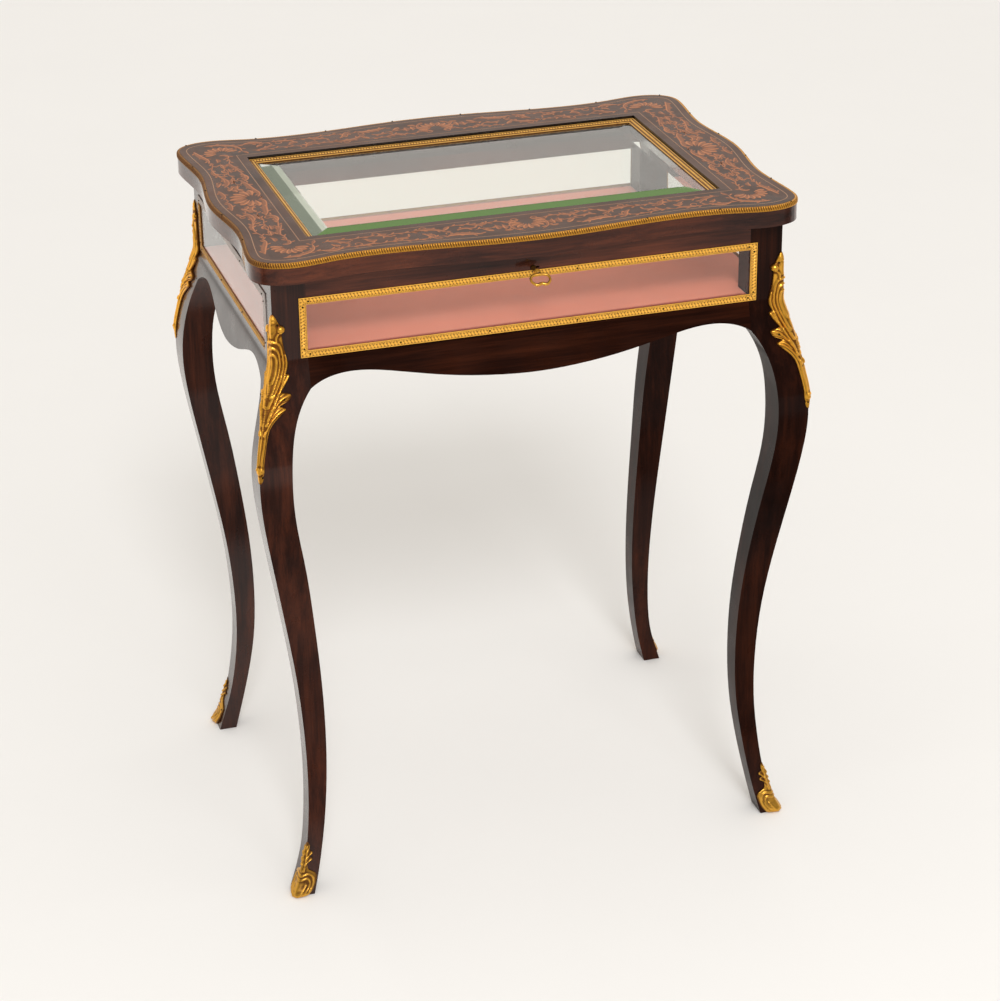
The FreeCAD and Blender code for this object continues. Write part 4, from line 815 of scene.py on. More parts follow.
class DISPLAYTABLE_OT_glass_moulding(bpy.types.Operator):
    """Make the beaded gilt moulding that holds the lid's glass"""
    bl_idname = "display_table.glass_moulding"
    bl_label = "Glass moulding"

    def execute(self, context):
        gilt = gilt_brass("gilt_moulding", (.95, .54, .11), tint("patina_and_painted_shade"), shine=0.4)
        inward = np.array([0, 0, .3, .9, 1.5, *(np.arange(20, 93, 6) / 10), 9.4, 9.4])
        share = inward / MOULDING_WIDTH
        top = (MOULDING_OUTER_TOP * (1 - share) + MOULDING_INNER_TOP * share
               + MOULDING_CROWN * 4 * share * (1 - share))
        bottom = MOULDING_BOTTOM + 0.7 * share
        under = np.zeros(len(inward), bool)
        under[[0, -1]] = True
        places, along = rectangle_ring(OPENING_HALF_WIDTH - 0.1, OPENING_HALF_DEPTH - 0.1,
                                       inward, MOULDING_STEP)
        beads = dome(fold_to_middle(along / BEAD_PITCH) * BEAD_PITCH, inward - 5.0, 1.5)
        pattern = np.maximum(beads, 0.9 * hump((inward - 8.4) / 0.9))
        pattern = np.maximum(pattern, 0.8 * hump((inward - 1.4) / 1.3))
        z = np.where(under, bottom, top - 0.65 * (1 - pattern))
        # The two rows at the moulding's foot are painted fully dark, as shade on its edge
        # walls; the low places of its pattern are tarnished.
        Shell().grid(np.dstack([places, z]), wrap_u=True,
                     hollow=np.where(under, 1.0, 1.15 * (1 - pattern))).piece(
            "glass_moulding", "lid", "gilt_brass", gilt,
            ["lid_moulding_" + side for side in ("front", "back", "left", "right")])
        return {"FINISHED"}


# ---- marquetry
# width of the stringing, its middle's inset from the lid's edge and its gap to the opening
STRINGING, STRINGING_INSET, STRINGING_GAP = 0.9, 11.5, 10.5
# room between the border's ornament and the lid's edge, and the opening
EDGE_ROOM, OPENING_ROOM = 12.0, 12.5
# widening of every scroll, and spacing and width of the small leaves along it
SCROLL_FULLNESS, LEAFLET_SPACING, LEAFLET_WIDTH = 1.22, 8.0, 2.5
# heights of the inlay's sunk foot, and of each layer over the one below
INLAY_FOOT, LAYER_STEP = LID_TOP - 0.5, 0.006


def ribbon(shell, line, width, kind, tone, layer):
    """One flat piece of inlay along a line, with its copies in the other quarters of the lid.
    Its half width is the greatest width times a shape of the place along it: a stem keeps its
    width, a leaf swells to its middle and has lobes along one edge, and a petal or bud is
    widest near its end.  A line on an axis has no copy across it."""
    n = {"stem": 14, "bud": 7}.get(kind, 22)
    points, length = even(spline(line, 60), n)
    side = left_normals(points)
    u = np.linspace(0, 1, n)
    if kind == "stem":
        left = right = width / 2 * (0.25 + 0.75 * np.clip(np.minimum(u, 1 - u) * 8, 0, 1))
    elif kind in ("petal", "bud"):
        left = right = width / 2 * np.sin(np.pi * u**1.5) ** 0.7
    else:
        body = np.sin(np.pi * u**0.8) ** 0.8
        lobes = 0.6 + 0.4 * np.abs(np.sin(np.pi * u * max(2, round(length / 5))))
        left, right = width / 2 * body * lobes, width / 2 * body * 0.6
    across = np.array([-1.0, -1.0, 0.0, 1.0, 1.0] if kind == "bud"
                      else [-1.0, -1.0, -0.5, 0.0, 0.5, 1.0, 1.0])
    reach = np.where(across > 0, left[:, None], right[:, None]) * across
    flat = points[:, None] + side[:, None] * reach[..., None]
    z = np.full((n, len(across)), LID_TOP + size_mm("inlay_proud") + LAYER_STEP * layer)
    z[:, [0, -1]] = INLAY_FOOT
    vein = (1 - np.abs(across)) * (kind in ("leaf", "petal"))
    vein = vein * (u[:, None] > 0.1) * (u[:, None] < 0.85)
    flips = [(1,) if on_axis else (-1, 1) for on_axis in np.abs(points).max(0) < 0.1]
    for flip in ((x, y) for x in flips[0] for y in flips[1]):
        shell.grid(np.dstack([flat * flip, z]), tone=tone, across=(across + 1) / 2, vein=vein)


def within_border(points, outline, room):
    """Whether points lie between the two stringing lines, with some room to spare."""
    gap = np.linalg.norm(points[:, None] - outline, axis=-1).min(1)
    opening = OPENING_HALF_WIDTH + OPENING_ROOM, OPENING_HALF_DEPTH + OPENING_ROOM
    return (gap > EDGE_ROOM + room) & ((np.abs(points) - opening).max(1) > room)


def leaflets(line, width, outline):
    """Lines of the small leaves that sweep off both sides of a scroll in turn.  One that
    would come near the stringing or the edge is left out."""
    n = max(1, round(even(spline(line, 60), 9)[1] / LEAFLET_SPACING))
    points, _ = even(spline(line, 60), 2 * n + 1)
    side = left_normals(points)[1::2] * np.where(np.arange(n) % 2, -1, 1)[:, None]
    ahead = np.gradient(points, axis=0)[1::2]
    ahead /= np.linalg.norm(ahead, axis=1, keepdims=True)
    root = points[1::2] + side * 0.2 * width
    middle = root + side * 1.5 + ahead * 2.8
    tip = root + side * 4.2 + ahead * 6.0
    return np.stack([root, middle, tip], 1)[within_border(tip, outline, 1.2)]


def volute(line, turn):
    """Line of the scroll that a stem ends in: it goes on from the stem's end, and bends ever
    more tightly to one side."""
    end = np.subtract(line[-1], line[-2])
    angle = math.atan2(end[1], end[0]) + turn * np.radians(np.linspace(0, 330, 12))
    step = np.linspace(2.9, 0.9, 12)[:, None]
    way = np.stack([np.cos(angle), np.sin(angle)], -1) * step
    return np.add(line[-1], np.cumsum(way, 0))


SCROLLS = [
    # kind, width, tone, and the points of its middle line in the front left quarter, whose
    # signs are left out
    ("leaf", 7.0, .1, [(286, 176), (284, 163), (280, 150), (277, 138), (279, 128)]),
    ("stem", 1.5, .3, [(278, 132), (276, 124), (279, 112), (281, 100), (279, 88)]),
    ("leaf", 6.0, .2, [(280, 104), (281, 94), (278, 84), (273, 78)]),
    ("stem", 1.5, .3, [(279, 90), (277, 80), (275, 70), (276, 60)]),
    ("leaf", 8.5, .1, [(276, 76), (273, 64), (275, 52), (280, 43)]),
    ("petal", 4.0, .4, [(279, 60), (284, 54), (287, 46)]),
    ("leaf", 6.5, .1, [(271, 192), (258, 191), (246, 187), (237, 180), (233, 170), (233, 160)]),
    ("petal", 3.6, .3, [(233, 163), (230, 157), (228, 151)]),
    ("leaf", 5.5, .2, [(262, 152), (256, 153), (253, 147), (255, 139)]),
    ("stem", 1.5, .3, [(255, 142), (254, 133), (257, 122), (257, 112), (254, 103)]),
    ("leaf", 6.5, .2, [(257, 124), (256, 112), (252, 101), (248, 92)]),
    ("stem", 1.5, .3, [(254, 104), (252, 92), (250, 80), (251, 68)]),
    ("leaf", 7.0, .1, [(253, 84), (249, 74), (250, 64), (255, 57)]),
    ("leaf", 7.5, .0, [(258, 60), (254, 46), (252, 32), (249, 20), (250, 10)]),
    ("petal", 5.0, .3, [(266, 70), (268, 62), (266, 54)]),
    ("petal", 4.4, .4, [(264, 88), (268, 94), (270, 101)]),
    ("petal", 4.0, .2, [(262, 90), (260, 98), (262, 105)]),
    ("petal", 4.0, .3, [(266, 106), (264, 114), (266, 122)]),
    ("stem", 1.1, .4, [(266, 126), (268, 112), (264, 98), (266, 84), (263, 72), (266, 58),
                       (264, 46)]),
    ("petal", 4.6, .1, [(270, 128), (266, 134), (267, 142)]),
    ("leaf", 5.5, .2, [(264, 46), (268, 38), (266, 30), (260, 24)]),
    ("petal", 4.6, .3, [(268, 44), (274, 38), (278, 30)]),
    # round the shell in the middle of the side
    ("leaf", 6.0, .1, [(289, 34), (287, 22), (287, 10), (290, 3)]),
    ("leaf", 6.0, .3, [(252, 31), (249, 20), (249, 9), (252, 2)]),
    ("petal", 4.6, .4, [(276, 36), (272, 30), (270, 24)]),
    # the front rail, from the corner to the middle
    ("stem", 1.5, .3, [(238, 183), (228, 184), (216, 183), (204, 182), (190, 183)]),
    ("leaf", 6.5, .1, [(228, 183), (220, 187), (210, 186), (203, 179)]),
    ("stem", 1.4, .3, [(222, 161), (212, 159), (200, 159), (188, 161), (176, 159), (166, 160)]),
    ("leaf", 6.0, .2, [(216, 160), (207, 163), (198, 170), (194, 177)]),
    ("petal", 4.4, .3, [(214, 168), (210, 174), (205, 176)]),
    ("leaf", 5.5, .1, [(192, 182), (182, 183), (172, 181), (163, 184)]),
    ("petal", 5.2, .2, [(177, 170), (171, 173), (165, 171)]),
    ("petal", 4.2, .4, [(180, 164), (174, 168), (172, 176)]),
    ("stem", 1.4, .3, [(166, 160), (154, 162), (142, 160), (128, 161), (114, 161)]),
    ("leaf", 6.0, .1, [(160, 153), (157, 158), (154, 164), (147, 168)]),
    ("stem", 1.4, .3, [(164, 183), (152, 181), (138, 183), (124, 186), (110, 184)]),
    ("leaf", 5.0, .3, [(150, 181), (142, 176), (134, 175), (128, 170)]),
    ("leaf", 7.5, .0, [(126, 161), (114, 159), (102, 161), (94, 167), (90, 174)]),
    ("petal", 4.6, .2, [(93, 170), (88, 163), (83, 157)]),
    ("leaf", 5.5, .2, [(116, 170), (110, 176), (107, 184), (103, 190)]),
    ("stem", 1.4, .3, [(110, 184), (100, 183), (92, 184)]),
    ("leaf", 9.5, .0, [(92, 186), (84, 183), (74, 184), (64, 187), (54, 191)]),
    ("stem", 1.4, .3, [(84, 158), (74, 157), (62, 157), (50, 160), (38, 159), (26, 160),
                       (16, 164)]),
    ("leaf", 6.0, .1, [(64, 157), (55, 161), (47, 163), (40, 159)]),
    ("leaf", 5.0, .3, [(78, 172), (70, 168), (62, 170), (54, 168)]),
    ("petal", 5.2, .2, [(52, 176), (46, 180), (41, 186)]),
    ("petal", 6.0, .3, [(36, 168), (33, 175), (35, 183)]),
    ("petal", 4.6, .2, [(28, 169), (26, 176), (27, 184)]),
    ("stem", 1.1, .4, [(60, 177), (50, 174), (40, 176), (30, 175), (22, 178)]),
    # round the shell in the middle of the front
    ("leaf", 4.6, .0, [(5, 160), (13, 163), (18.5, 171), (19.5, 181), (16, 190), (9, 196)]),
    ("petal", 3.8, .1, [(19, 186), (25, 189), (30, 187)]),
]
# hub, first and last angle, number of petals, reach, width
SHELLS = [((-257.0, -162.0), 165, 345, 9, 20.5, 6.4), ((-257.0, 0.0), 90, 180, 5, 27.0, 8.0),
          ((0.0, -170.0), 180, 270, 5, 21.0, 6.0)]


class DISPLAYTABLE_OT_marquetry(bpy.types.Operator):
    """Inlay the lid with scrolling leaves, shells and stringing lines"""
    bl_idname = "display_table.marquetry"
    bl_label = "Marquetry"

    def execute(self, context):
        wood = inlay("marquetry", tint("inlay_light"), tint("inlay_deep"))
        shell, outline = Shell(), lid_outline(300)[0]
        for number, (kind, width, tone, line) in enumerate(SCROLLS):
            line, tone = -np.array(line), tone + 0.4 * (number % 3 == 1)
            ribbon(shell, line, SCROLL_FULLNESS * width, kind, tone, 3 + number % 4)
            if kind != "petal":
                for order, small in enumerate(leaflets(line, width, outline)):
                    ribbon(shell, small, LEAFLET_WIDTH, "bud", 0.2 + 0.3 * (order % 2),
                           order % 3)
            if kind == "stem":
                for turn in (1, -1):
                    scroll = volute(line, turn)
                    if within_border(scroll, outline, 0.8).all():
                        ribbon(shell, scroll, 1.5, "stem", 0.2, 2)
                        break
        for hub, first, last, count, reach, width in SHELLS:
            angles = np.radians(np.linspace(first, last, count))
            for k, ray in enumerate(np.stack([np.cos(angles), np.sin(angles)], -1)):
                line = [np.add(hub, ray * r) for r in (0.28 * reach, 0.6 * reach, reach)]
                ribbon(shell, line, width, "petal", 0.15 * (k % 2), 6 + k % 2)
        shell.piece("lid_marquetry", "lid", "marquetry_veneer", wood, smooth=False)

        pale = inlay("stringing", (.37, .20, .11), (.30, .14, .07))
        lines = Shell()
        points, normals, _ = lid_outline(900)
        outer = STRINGING_INSET + np.repeat([-STRINGING / 2, STRINGING / 2], 2)
        inner, _ = rectangle_ring(OPENING_HALF_WIDTH + STRINGING_GAP,
                                  OPENING_HALF_DEPTH + STRINGING_GAP,
                                  np.repeat([0.0, STRINGING], 2), 60.0)
        for flat, tone in ((points[:, None] - normals[:, None] * outer[:, None], 0.0),
                           (inner, 0.6)):
            z = np.broadcast_to(LID_TOP + np.array([-0.5, .045, .045, -0.5]), flat.shape[:2])
            lines.grid(np.dstack([flat, z]), wrap_u=True, tone=tone, across=0.0, vein=0.0)
        lines.piece("lid_stringing", "lid", "marquetry_veneer", pale, smooth=False)
        return {"FINISHED"}


# ---- mounts on the legs
def leg_face(view, face, height):
    """How far the outer face of the leg stands from the middle of the table at a height."""
    points = [(face + out * LEG_SWING, share * LEG_HEIGHT) for share, out in view]
    points.append((face, FLARE_TOP))
    first = np.subtract(points[1], points[0])
    curve = spline(points, 900, start=first / np.linalg.norm(first), end=(0.0, 1.0))
    return np.interp(height, curve[:, 1], curve[:, 0])


def ridge(across, height, line, width, rise):
    """Rounded ridge along a smooth line on the developed face of a mount: the rise times
    a half cosine of the distance from that line.  A negative rise makes a groove."""
    path = spline(line, 70)
    gap = np.sqrt(((across[..., None] - path[:, 0]) ** 2
                   + (height[..., None] - path[:, 1]) ** 2).min(-1))
    return rise * hump(gap / width)


# how far from the corner a mount is rounded, and by how much
CORNER_REACH, CORNER_SOFTENING = 2.2, 0.45


def corner_mount(name, corner, height, width, lift, gilt, replaced, painted_shade):
    """Cast mount folded round the outer corner of a leg.  Its grid has one row per height.
    Each row runs from the edge on one face, round the corner, to the edge on the other, and
    back against the wood.  A point lies at its distance from the corner along a face, and is
    lifted along a normal that swings smoothly from one face to the other.  Painted shade, when
    given, darkens the face along the front or back, and the back against the wood is painted
    dark."""
    t = np.linspace(-1, 1, 45)
    x0 = leg_face(LEG_FRONT_VIEW, CASE_HALF_WIDTH, height)[:, None]
    y0 = leg_face(LEG_END_VIEW, CASE_HALF_DEPTH, height)[:, None]
    over = np.sign(t) * np.abs(t) ** 1.15 * width[:, None]
    z = np.broadcast_to(height[:, None], over.shape)
    rise = lift(np.abs(over), z, np.abs(t))
    turn = math.pi / 4 * (1 + np.tanh(over / CORNER_REACH))

    def lay(raised):
        soft = CORNER_SOFTENING * hump(over / CORNER_REACH)
        x = x0 - np.maximum(-over, 0) + (raised - soft) * np.sin(turn)
        y = y0 - np.maximum(over, 0) + (raised - soft) * np.cos(turn)
        return np.stack([x, y, z], -1)

    points = np.concatenate([lay(rise), lay(np.full(over.shape, -0.15))[:, ::-1]], 1)
    around = sum(np.roll(rise, (i, j), (0, 1)) for i in (-5, 0, 5) for j in (-3, 0, 3)) / 9
    # Tarnish in the hollows of the relief, and on the left corners painted shade over the face
    # along the front or back.
    hollow = np.clip((around - rise) * 2.0 + 0.08 + painted_shade * (over < 0), 0, 1)
    flip = (-1 if "left" in corner else 1, -1 if "front" in corner else 1, 1)
    # The mount's back against the wood is painted fully dark, as shade.
    hollow = np.concatenate([hollow, np.ones_like(hollow)], 1)
    Shell().grid(points * flip, hollow=hollow).piece(name, "case", "gilt_brass", gilt, replaced)


# depth below the mount's top and width of each of its faces there
KNEE_EDGE = [(0, 0.9), (1.0, 2.0), (3, 3.1), (6, 4.6), (9, 6.2), (12, 7.6), (13.0, 8.8),
             (13.8, 10.6), (15, 12.2), (17, 13.2), (19, 12.6), (20.6, 10.6), (21.6, 9.6),
             (23, 9.3), (26, 9.6), (32, 10.2), (39, 11.0), (48, 13.4), (55, 14.8), (60, 14.9),
             (63, 14.2), (66, 13.8), (67, 17.4), (69, 18.3), (72, 17.6), (77, 15.2),
             (82, 12.6), (84.5, 11.4), (86, 18), (87.4, 22.6), (89, 23.6), (92.5, 22.6),
             (94.5, 20.5), (96.5, 16.5), (98.2, 12.8), (99.4, 15.0), (101, 19.0),
             (102.2, 20.2), (104, 19.2), (108, 15.2), (112, 11.4), (116, 8.2), (121, 5.6),
             (127, 4.8), (135, 4.5), (150, 4.2), (158, 3.9), (160, 4.3), (164, 4.6),
             (168, 4.2), (170, 3.1), (172, 4.0), (175, 3.4), (177.5, 2.2), (178.5, 0.9)]
KNEE_RIDGES = [
    # width, rise, line of (distance from the corner, depth below the top)
    (1.7, 1.7, [(0.0, 29.5), (4.5, 32), (8.2, 42), (9.2, 54), (8.8, 66), (6.8, 77), (3.8, 87),
                (1.4, 98)]),
    (1.3, 1.2, [(0.0, 36), (3.0, 39), (5.2, 47), (5.6, 56), (5.3, 66), (3.6, 77), (1.5, 88)]),
    (1.1, 1.0, [(0.0, 43), (1.8, 46), (2.7, 54), (2.6, 64), (1.4, 74)]),
    (1.4, 1.4, [(12.2, 46), (12.9, 58), (12.2, 70), (9.6, 82), (5.4, 95), (2.6, 106)]),
    (1.5, 1.6, [(17.2, 67.5), (14.4, 74), (9.6, 84.5), (5.0, 97), (2.2, 110)]),
    (1.5, 1.7, [(22.4, 87.5), (15.0, 89.5), (9.0, 95), (4.6, 104), (1.8, 116)]),
    (1.3, 1.1, [(19.0, 84), (13.0, 86.5), (7.4, 92.5), (3.6, 101)]),
    (1.5, 1.7, [(19.6, 101.4), (13.0, 104.4), (7.4, 109.5), (3.4, 117), (1.4, 126)]),
    (1.2, 1.0, [(16.0, 99.4), (10.0, 102.4), (5.2, 108.5)]),
    (0.9, -1.1, [(20.5, 93.4), (12.5, 96.6), (6.6, 103), (3.0, 112)]),
    (0.9, -1.0, [(15.5, 78), (10.4, 87), (5.6, 98)]),
    (0.9, -0.9, [(11.0, 48), (11.4, 60), (10.4, 72), (7.6, 83), (4.0, 95)]),
    (0.9, -0.8, [(7.4, 46), (7.6, 57), (7.0, 68), (5.0, 79)]),
    (1.3, 1.3, [(1.6, 122), (2.0, 136), (1.6, 150), (1.6, 162)]),
    (1.5, 1.3, [(8.4, 20.5), (5.2, 22.0), (3.4, 25.5), (3.2, 30.0)]),
]


def knee_lift(across, height, share):
    """Relief of the knee mount: a crowned body, scrolls and leaf veins that fan out of the
    tail, fine beads down the corner, a cap with rings under it, a knob on each face and a
    boss near the tip."""
    down = KNEE_TOP - height
    body = np.interp(down, [0, 4, 14, 24, 40, 70, 100, 125, 150, 165, 178.5],
                     [1.0, 2.2, 3.4, 3.6, 4.1, 4.7, 4.3, 3.6, 3.1, 3.2, 1.0])
    rise = 0.7 + (body - 0.7) * np.sqrt(np.clip(1 - (0.94 * share) ** 2, 0, 1))
    for width, height_of, line in KNEE_RIDGES:
        rise += ridge(across, down, line, width, height_of) * (share < 0.97)
    beads = hump(across / 1.0) * hump((down - 98) / 38) * (0.5 + 0.5 * np.cos(2.6 * down))
    rise += 0.7 * beads
    rise += 2.6 * dome(across - 8.8, down - 17.4, 4.1)
    rise += 0.4 * dome(across, down - 5.5, 4.8) + 0.5 * hump(across / 5.0) * (
        0.5 - 0.5 * np.cos(2 * np.pi * down / 3.4)) * hump((down - 8.5) / 8.0)
    rise += 1.0 * dome(across, down - 163.5, 4.0)
    return rise


# height and width of each face of the shoe
SABOT_EDGE = [(0.35, 12.2), (1.5, 13.6), (3, 14.9), (7, 17.2), (12, 18.3), (18, 18.5),
              (22.7, 17.8), (26, 15.2), (28.5, 10.8), (30.5, 7.0), (33, 4.8), (37, 3.8),
              (39.6, 3.9), (40.6, 6.4), (42.2, 8.4), (44, 8.2), (45.4, 5.6), (46.2, 3.6),
              (47.2, 5.4), (49.0, 7.7), (51.4, 7.2), (52.8, 4.2), (54.0, 2.8), (56.0, 3.2),
              (58.2, 3.2), (60.4, 2.6), (62.2, 1.7), (63, 0.9)]
SABOT_RIDGES = [
    # width, rise, line of (distance from the corner, height)
    (1.3, 1.1, [(1.0, 24.5), (5.0, 26.2), (9.5, 25.0), (13.4, 21.0), (14.8, 15.5),
                (14.2, 10.0), (12.0, 6.2)]),
    (1.2, 1.0, [(1.5, 20.0), (5.5, 21.4), (9.0, 19.4), (11.0, 15.0), (10.6, 10.4),
                (8.4, 7.4)]),
    (1.2, 1.3, [(1.4, 2.0), (3.6, 7.6), (6.8, 13.6)]),
    (1.1, 1.0, [(6.5, 2.4), (10.0, 3.4), (13.6, 6.4)]),
    (1.4, 1.2, [(1.2, 30.0), (1.6, 38.0), (1.4, 48.0), (0.8, 58.0)]),
    (1.4, 1.3, [(1.6, 37.5), (4.0, 40.8), (7.0, 42.6)]),
    (1.4, 1.3, [(1.6, 43.5), (3.8, 47.6), (6.4, 50.2)]),
    (1.3, 1.2, [(1.2, 50.0), (2.4, 55.0), (3.0, 58.8)]),
]


def sabot_lift(across, height, share):
    """Relief of the shoe: a shell that swells into the toe, scrolls on both faces, and
    a sprig of leaflets up the corner."""
    body = np.interp(height, [0.3, 2.0, 5.0, 9.0, 13.0, 17.0, 26.0, 34.0, 50.0, 63.0],
                     [3.6, 5.4, 6.2, 5.6, 4.3, 3.4, 2.9, 2.4, 2.0, 1.2])
    rise = 0.6 + (body - 0.6) * np.sqrt(np.clip(1 - (0.94 * share) ** 2, 0, 1))
    for width, height_of, line in SABOT_RIDGES:
        rise += ridge(across, height, line, width, height_of) * (share < 0.97)
    return rise


class DISPLAYTABLE_OT_mounts(bpy.types.Operator):
    """Cast the knee mounts and the sabots"""
    bl_idname = "display_table.mounts"
    bl_label = "Leg mounts"

    def execute(self, context):
        knee_gilt = gilt_brass("gilt_knee", (1.0, .49, .055), (.19, .058, .005), rough=0.28,
                               shine=0.75)
        shoe_gilt = gilt_brass("gilt_shoe", (.66, .335, .04), (.12, .042, .005), rough=0.3,
                               shine=0.7)
        down, edge = np.array(KNEE_EDGE).T
        depth = np.linspace(0, down[-1], 300)
        knee_width = np.interp(depth, down, edge)
        heights, shoe = np.array(SABOT_EDGE).T
        up = np.linspace(heights[0], heights[-1], 130)
        shoe_width = np.interp(up, heights, shoe)
        for corner in CORNERS:
            # Mounts on the left corners get painted shade on one face.
            painted_shade = 0.5 if "left" in corner else 0.0
            corner_mount("gilt_knee_" + corner, corner, KNEE_TOP - depth, knee_width,
                         knee_lift, knee_gilt, ["knee_mount_" + corner], painted_shade)
            corner_mount("gilt_sabot_" + corner, corner, up, shoe_width, sabot_lift,
                         shoe_gilt, ["sabot_" + corner], painted_shade)
        return {"FINISHED"}


# ---- lining
def lining_outline():
    """Edge of the lining: a rectangle with its corners let out round the posts."""
    low, high = (np.array(c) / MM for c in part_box("base_lining"))
    x, y = high[0], high[1]
    notch_x, notch_y = x - FRONT_SPAN + 0.6, y - END_SPAN + 0.6
    quarter = [(x, 0), (x, y - notch_y), (x - notch_x, y - notch_y), (x - notch_x, y), (0, y)]
    return whole_outline(quarter), low[2], high[2]


# the simulated cloth's uneven start in metres, its shrinkage and the pad's pressure, and the
# limits of its swell in millimetres
UNEVEN_START, SHRINK, PRESSURE = 0.00003, -0.0003, 0.03
LOWEST_SWELL, HIGHEST_SWELL = -0.1, 1.2


def blown_sheet(half_width, half_depth, step=0.0065, frames=20):
    """Heights of a cloth simulated over the thin pad: a flat sheet, held along its edge and
    cut a little full, that the pad presses up from below.  A seeded unevenness of its start
    decides where it wrinkles.  Half sizes and step are in metres, and the heights come in
    millimetres on an even grid, kept between the lowest and highest swell."""
    count = [2 * round(half / step) + 1 for half in (half_width, half_depth)]
    lanes = [np.linspace(-half, half, n) for half, n in zip((half_width, half_depth), count)]
    x, y = np.meshgrid(*lanes, indexing="ij")
    points = np.stack([x, y, np.random.default_rng(11).normal(0.0, UNEVEN_START, x.shape)], -1)
    index = np.arange(x.size).reshape(x.shape)
    faces = np.stack([index[:-1, :-1], index[1:, :-1], index[1:, 1:], index[:-1, 1:]], -1)
    mesh = bpy.data.meshes.new("cloth_sheet")
    mesh.from_pydata(points.reshape(-1, 3), [], faces.reshape(-1, 4).tolist())
    sheet = bpy.data.objects.new("cloth_sheet", mesh)
    scene = bpy.context.scene
    scene.collection.objects.link(sheet)
    rim = np.unique(np.concatenate([index[0], index[-1], index[:, 0], index[:, -1]]))
    sheet.vertex_groups.new(name="held").add(rim.tolist(), 1.0, "REPLACE")
    cloth = sheet.modifiers.new("cloth", "CLOTH")
    cloth.settings.vertex_group_mass = "held"
    cloth.settings.quality = 4
    cloth.settings.shrink_min = cloth.settings.shrink_max = SHRINK
    cloth.settings.use_pressure = True
    cloth.settings.uniform_pressure_force = PRESSURE
    cloth.settings.effector_weights.gravity = 0.0
    for moment in range(1, frames + 1):
        scene.frame_set(moment)
    settled = sheet.evaluated_get(bpy.context.evaluated_depsgraph_get()).to_mesh()
    places = np.empty(3 * len(settled.vertices))
    settled.vertices.foreach_get("co", places)
    heights = places.reshape(*count, 3)[..., 2] / MM
    bpy.data.objects.remove(sheet)
    bpy.data.meshes.remove(mesh)
    scene.frame_set(1)
    return np.clip(heights, LOWEST_SWELL, HIGHEST_SWELL)


def sampled(heights, u, v):
    """Heights of an even grid between its points, with u and v from 0 to 1."""
    u, v = (np.clip(w, 0, 1) * (n - 1.001) for w, n in zip((u, v), heights.shape))
    i, j = u.astype(int), v.astype(int)
    u, v = u - i, v - j
    return ((1 - u) * ((1 - v) * heights[i, j] + v * heights[i, j + 1])
            + u * ((1 - v) * heights[i + 1, j] + v * heights[i + 1, j + 1]))


# share of the outline and of the thickness, from the middle underneath round the edge
LINING_EDGE = [(0.02, 0.0), (0.5, 0.0), (0.975, 0.0), (0.992, 0.08), (0.999, 0.28),
               (1.0, 0.5), (0.999, 0.72), (0.994, 0.9), (0.985, 0.97), (0.96, 1.0)]
# margin of the pad, and width of the band painted as shade along the lining's front and back
# edges
PAD_MARGIN, EDGE_SHADE_WIDTH = 18, 3.6


class DISPLAYTABLE_OT_lining(bpy.types.Operator):
    """Make the pink cloth lining over its thin pad"""
    bl_idname = "display_table.lining"
    bl_label = "Lining"

    def execute(self, context):
        pink = tint("lining")
        cloth = pink_cloth("pink_cloth", pink, toned(pink, 0.88))
        loop, bottom, top = lining_outline()
        edge = even(np.vstack([loop, loop[:1]]), 420)[0][:-1]
        share, lift = np.array(LINING_EDGE + [(k, 1.0) for k in np.linspace(0.9, 0.02, 24)]).T
        flat = edge * share[:, None, None]
        half = loop.max(0) - PAD_MARGIN
        puff = np.zeros(flat.shape[:2])
        u, v = np.moveaxis((flat / half + 1) / 2, -1, 0)
        puff = sampled(blown_sheet(*half * MM), u, v)
        z = bottom + (top - bottom - 0.2) * lift[:, None] + puff * (lift > .95)[:, None]
        # Marks the band along the front and back edges that is painted dark red, as shade.
        fold = (np.abs(flat[..., 1]) > loop[:, 1].max() - EDGE_SHADE_WIDTH) * 1.0
        lining = Shell().grid(np.dstack([flat, z]), fold=fold).piece(
            "pink_lining", "case", "pink_cloth", cloth, ["base_lining"])
        return {"FINISHED"}


# ---- stage
def add_lamp(kind, place, aim, size, energy, colour=(1, 1, 1)):
    """Lamp turned to a point: a square one of the given side in metres, or a sun of the given
    width in degrees."""
    name = kind.lower() + "_lamp"
    lamp = bpy.data.lights.new(name, kind)
    lamp.energy, lamp.color = energy, colour
    if kind == "SUN":
        lamp.angle = math.radians(size)
    else:
        lamp.shape, lamp.size = "SQUARE", size
    obj = bpy.data.objects.new(name, lamp)
    obj.location = place
    obj.rotation_euler = (Vector(aim) - Vector(place)).to_track_quat("-Z", "Y").to_euler()
    bpy.context.scene.collection.objects.link(obj)


# the camera's turn, rise and roll in degrees, the point that it is aimed at, its sensor, and
# the focal length and longer side of its picture in the same unit
CAMERA_ANGLES, CAMERA_AIM = (-17.315, 25.335, -0.651), (0.019721, 0.0, 0.353353)
SENSOR, FOCAL_LENGTH, LONGER_SIDE = 36.0, 2857.843, 1001


def add_camera(distance):
    """Camera in front and to the left, 25 degrees above the table."""
    turn, rise, roll = (math.radians(v) for v in CAMERA_ANGLES)
    back = Vector((math.sin(turn) * math.cos(rise), -math.cos(turn) * math.cos(rise),
                   math.sin(rise)))
    right = Vector((math.cos(turn), math.sin(turn), 0))
    up = back.cross(right)
    side = right * math.cos(roll) + up * math.sin(roll)
    top = up * math.cos(roll) - right * math.sin(roll)
    data = bpy.data.cameras.new("camera")
    data.sensor_width, data.sensor_fit = SENSOR, "AUTO"
    data.lens = FOCAL_LENGTH * SENSOR / LONGER_SIDE
    camera = bpy.data.objects.new("camera", data)
    bpy.context.scene.collection.objects.link(camera)
    place = Vector(CAMERA_AIM) + back * distance
    axes = Matrix((side, top, back)).transposed().to_4x4()
    camera.matrix_world = Matrix.Translation(place) @ axes
    bpy.context.scene.camera = camera


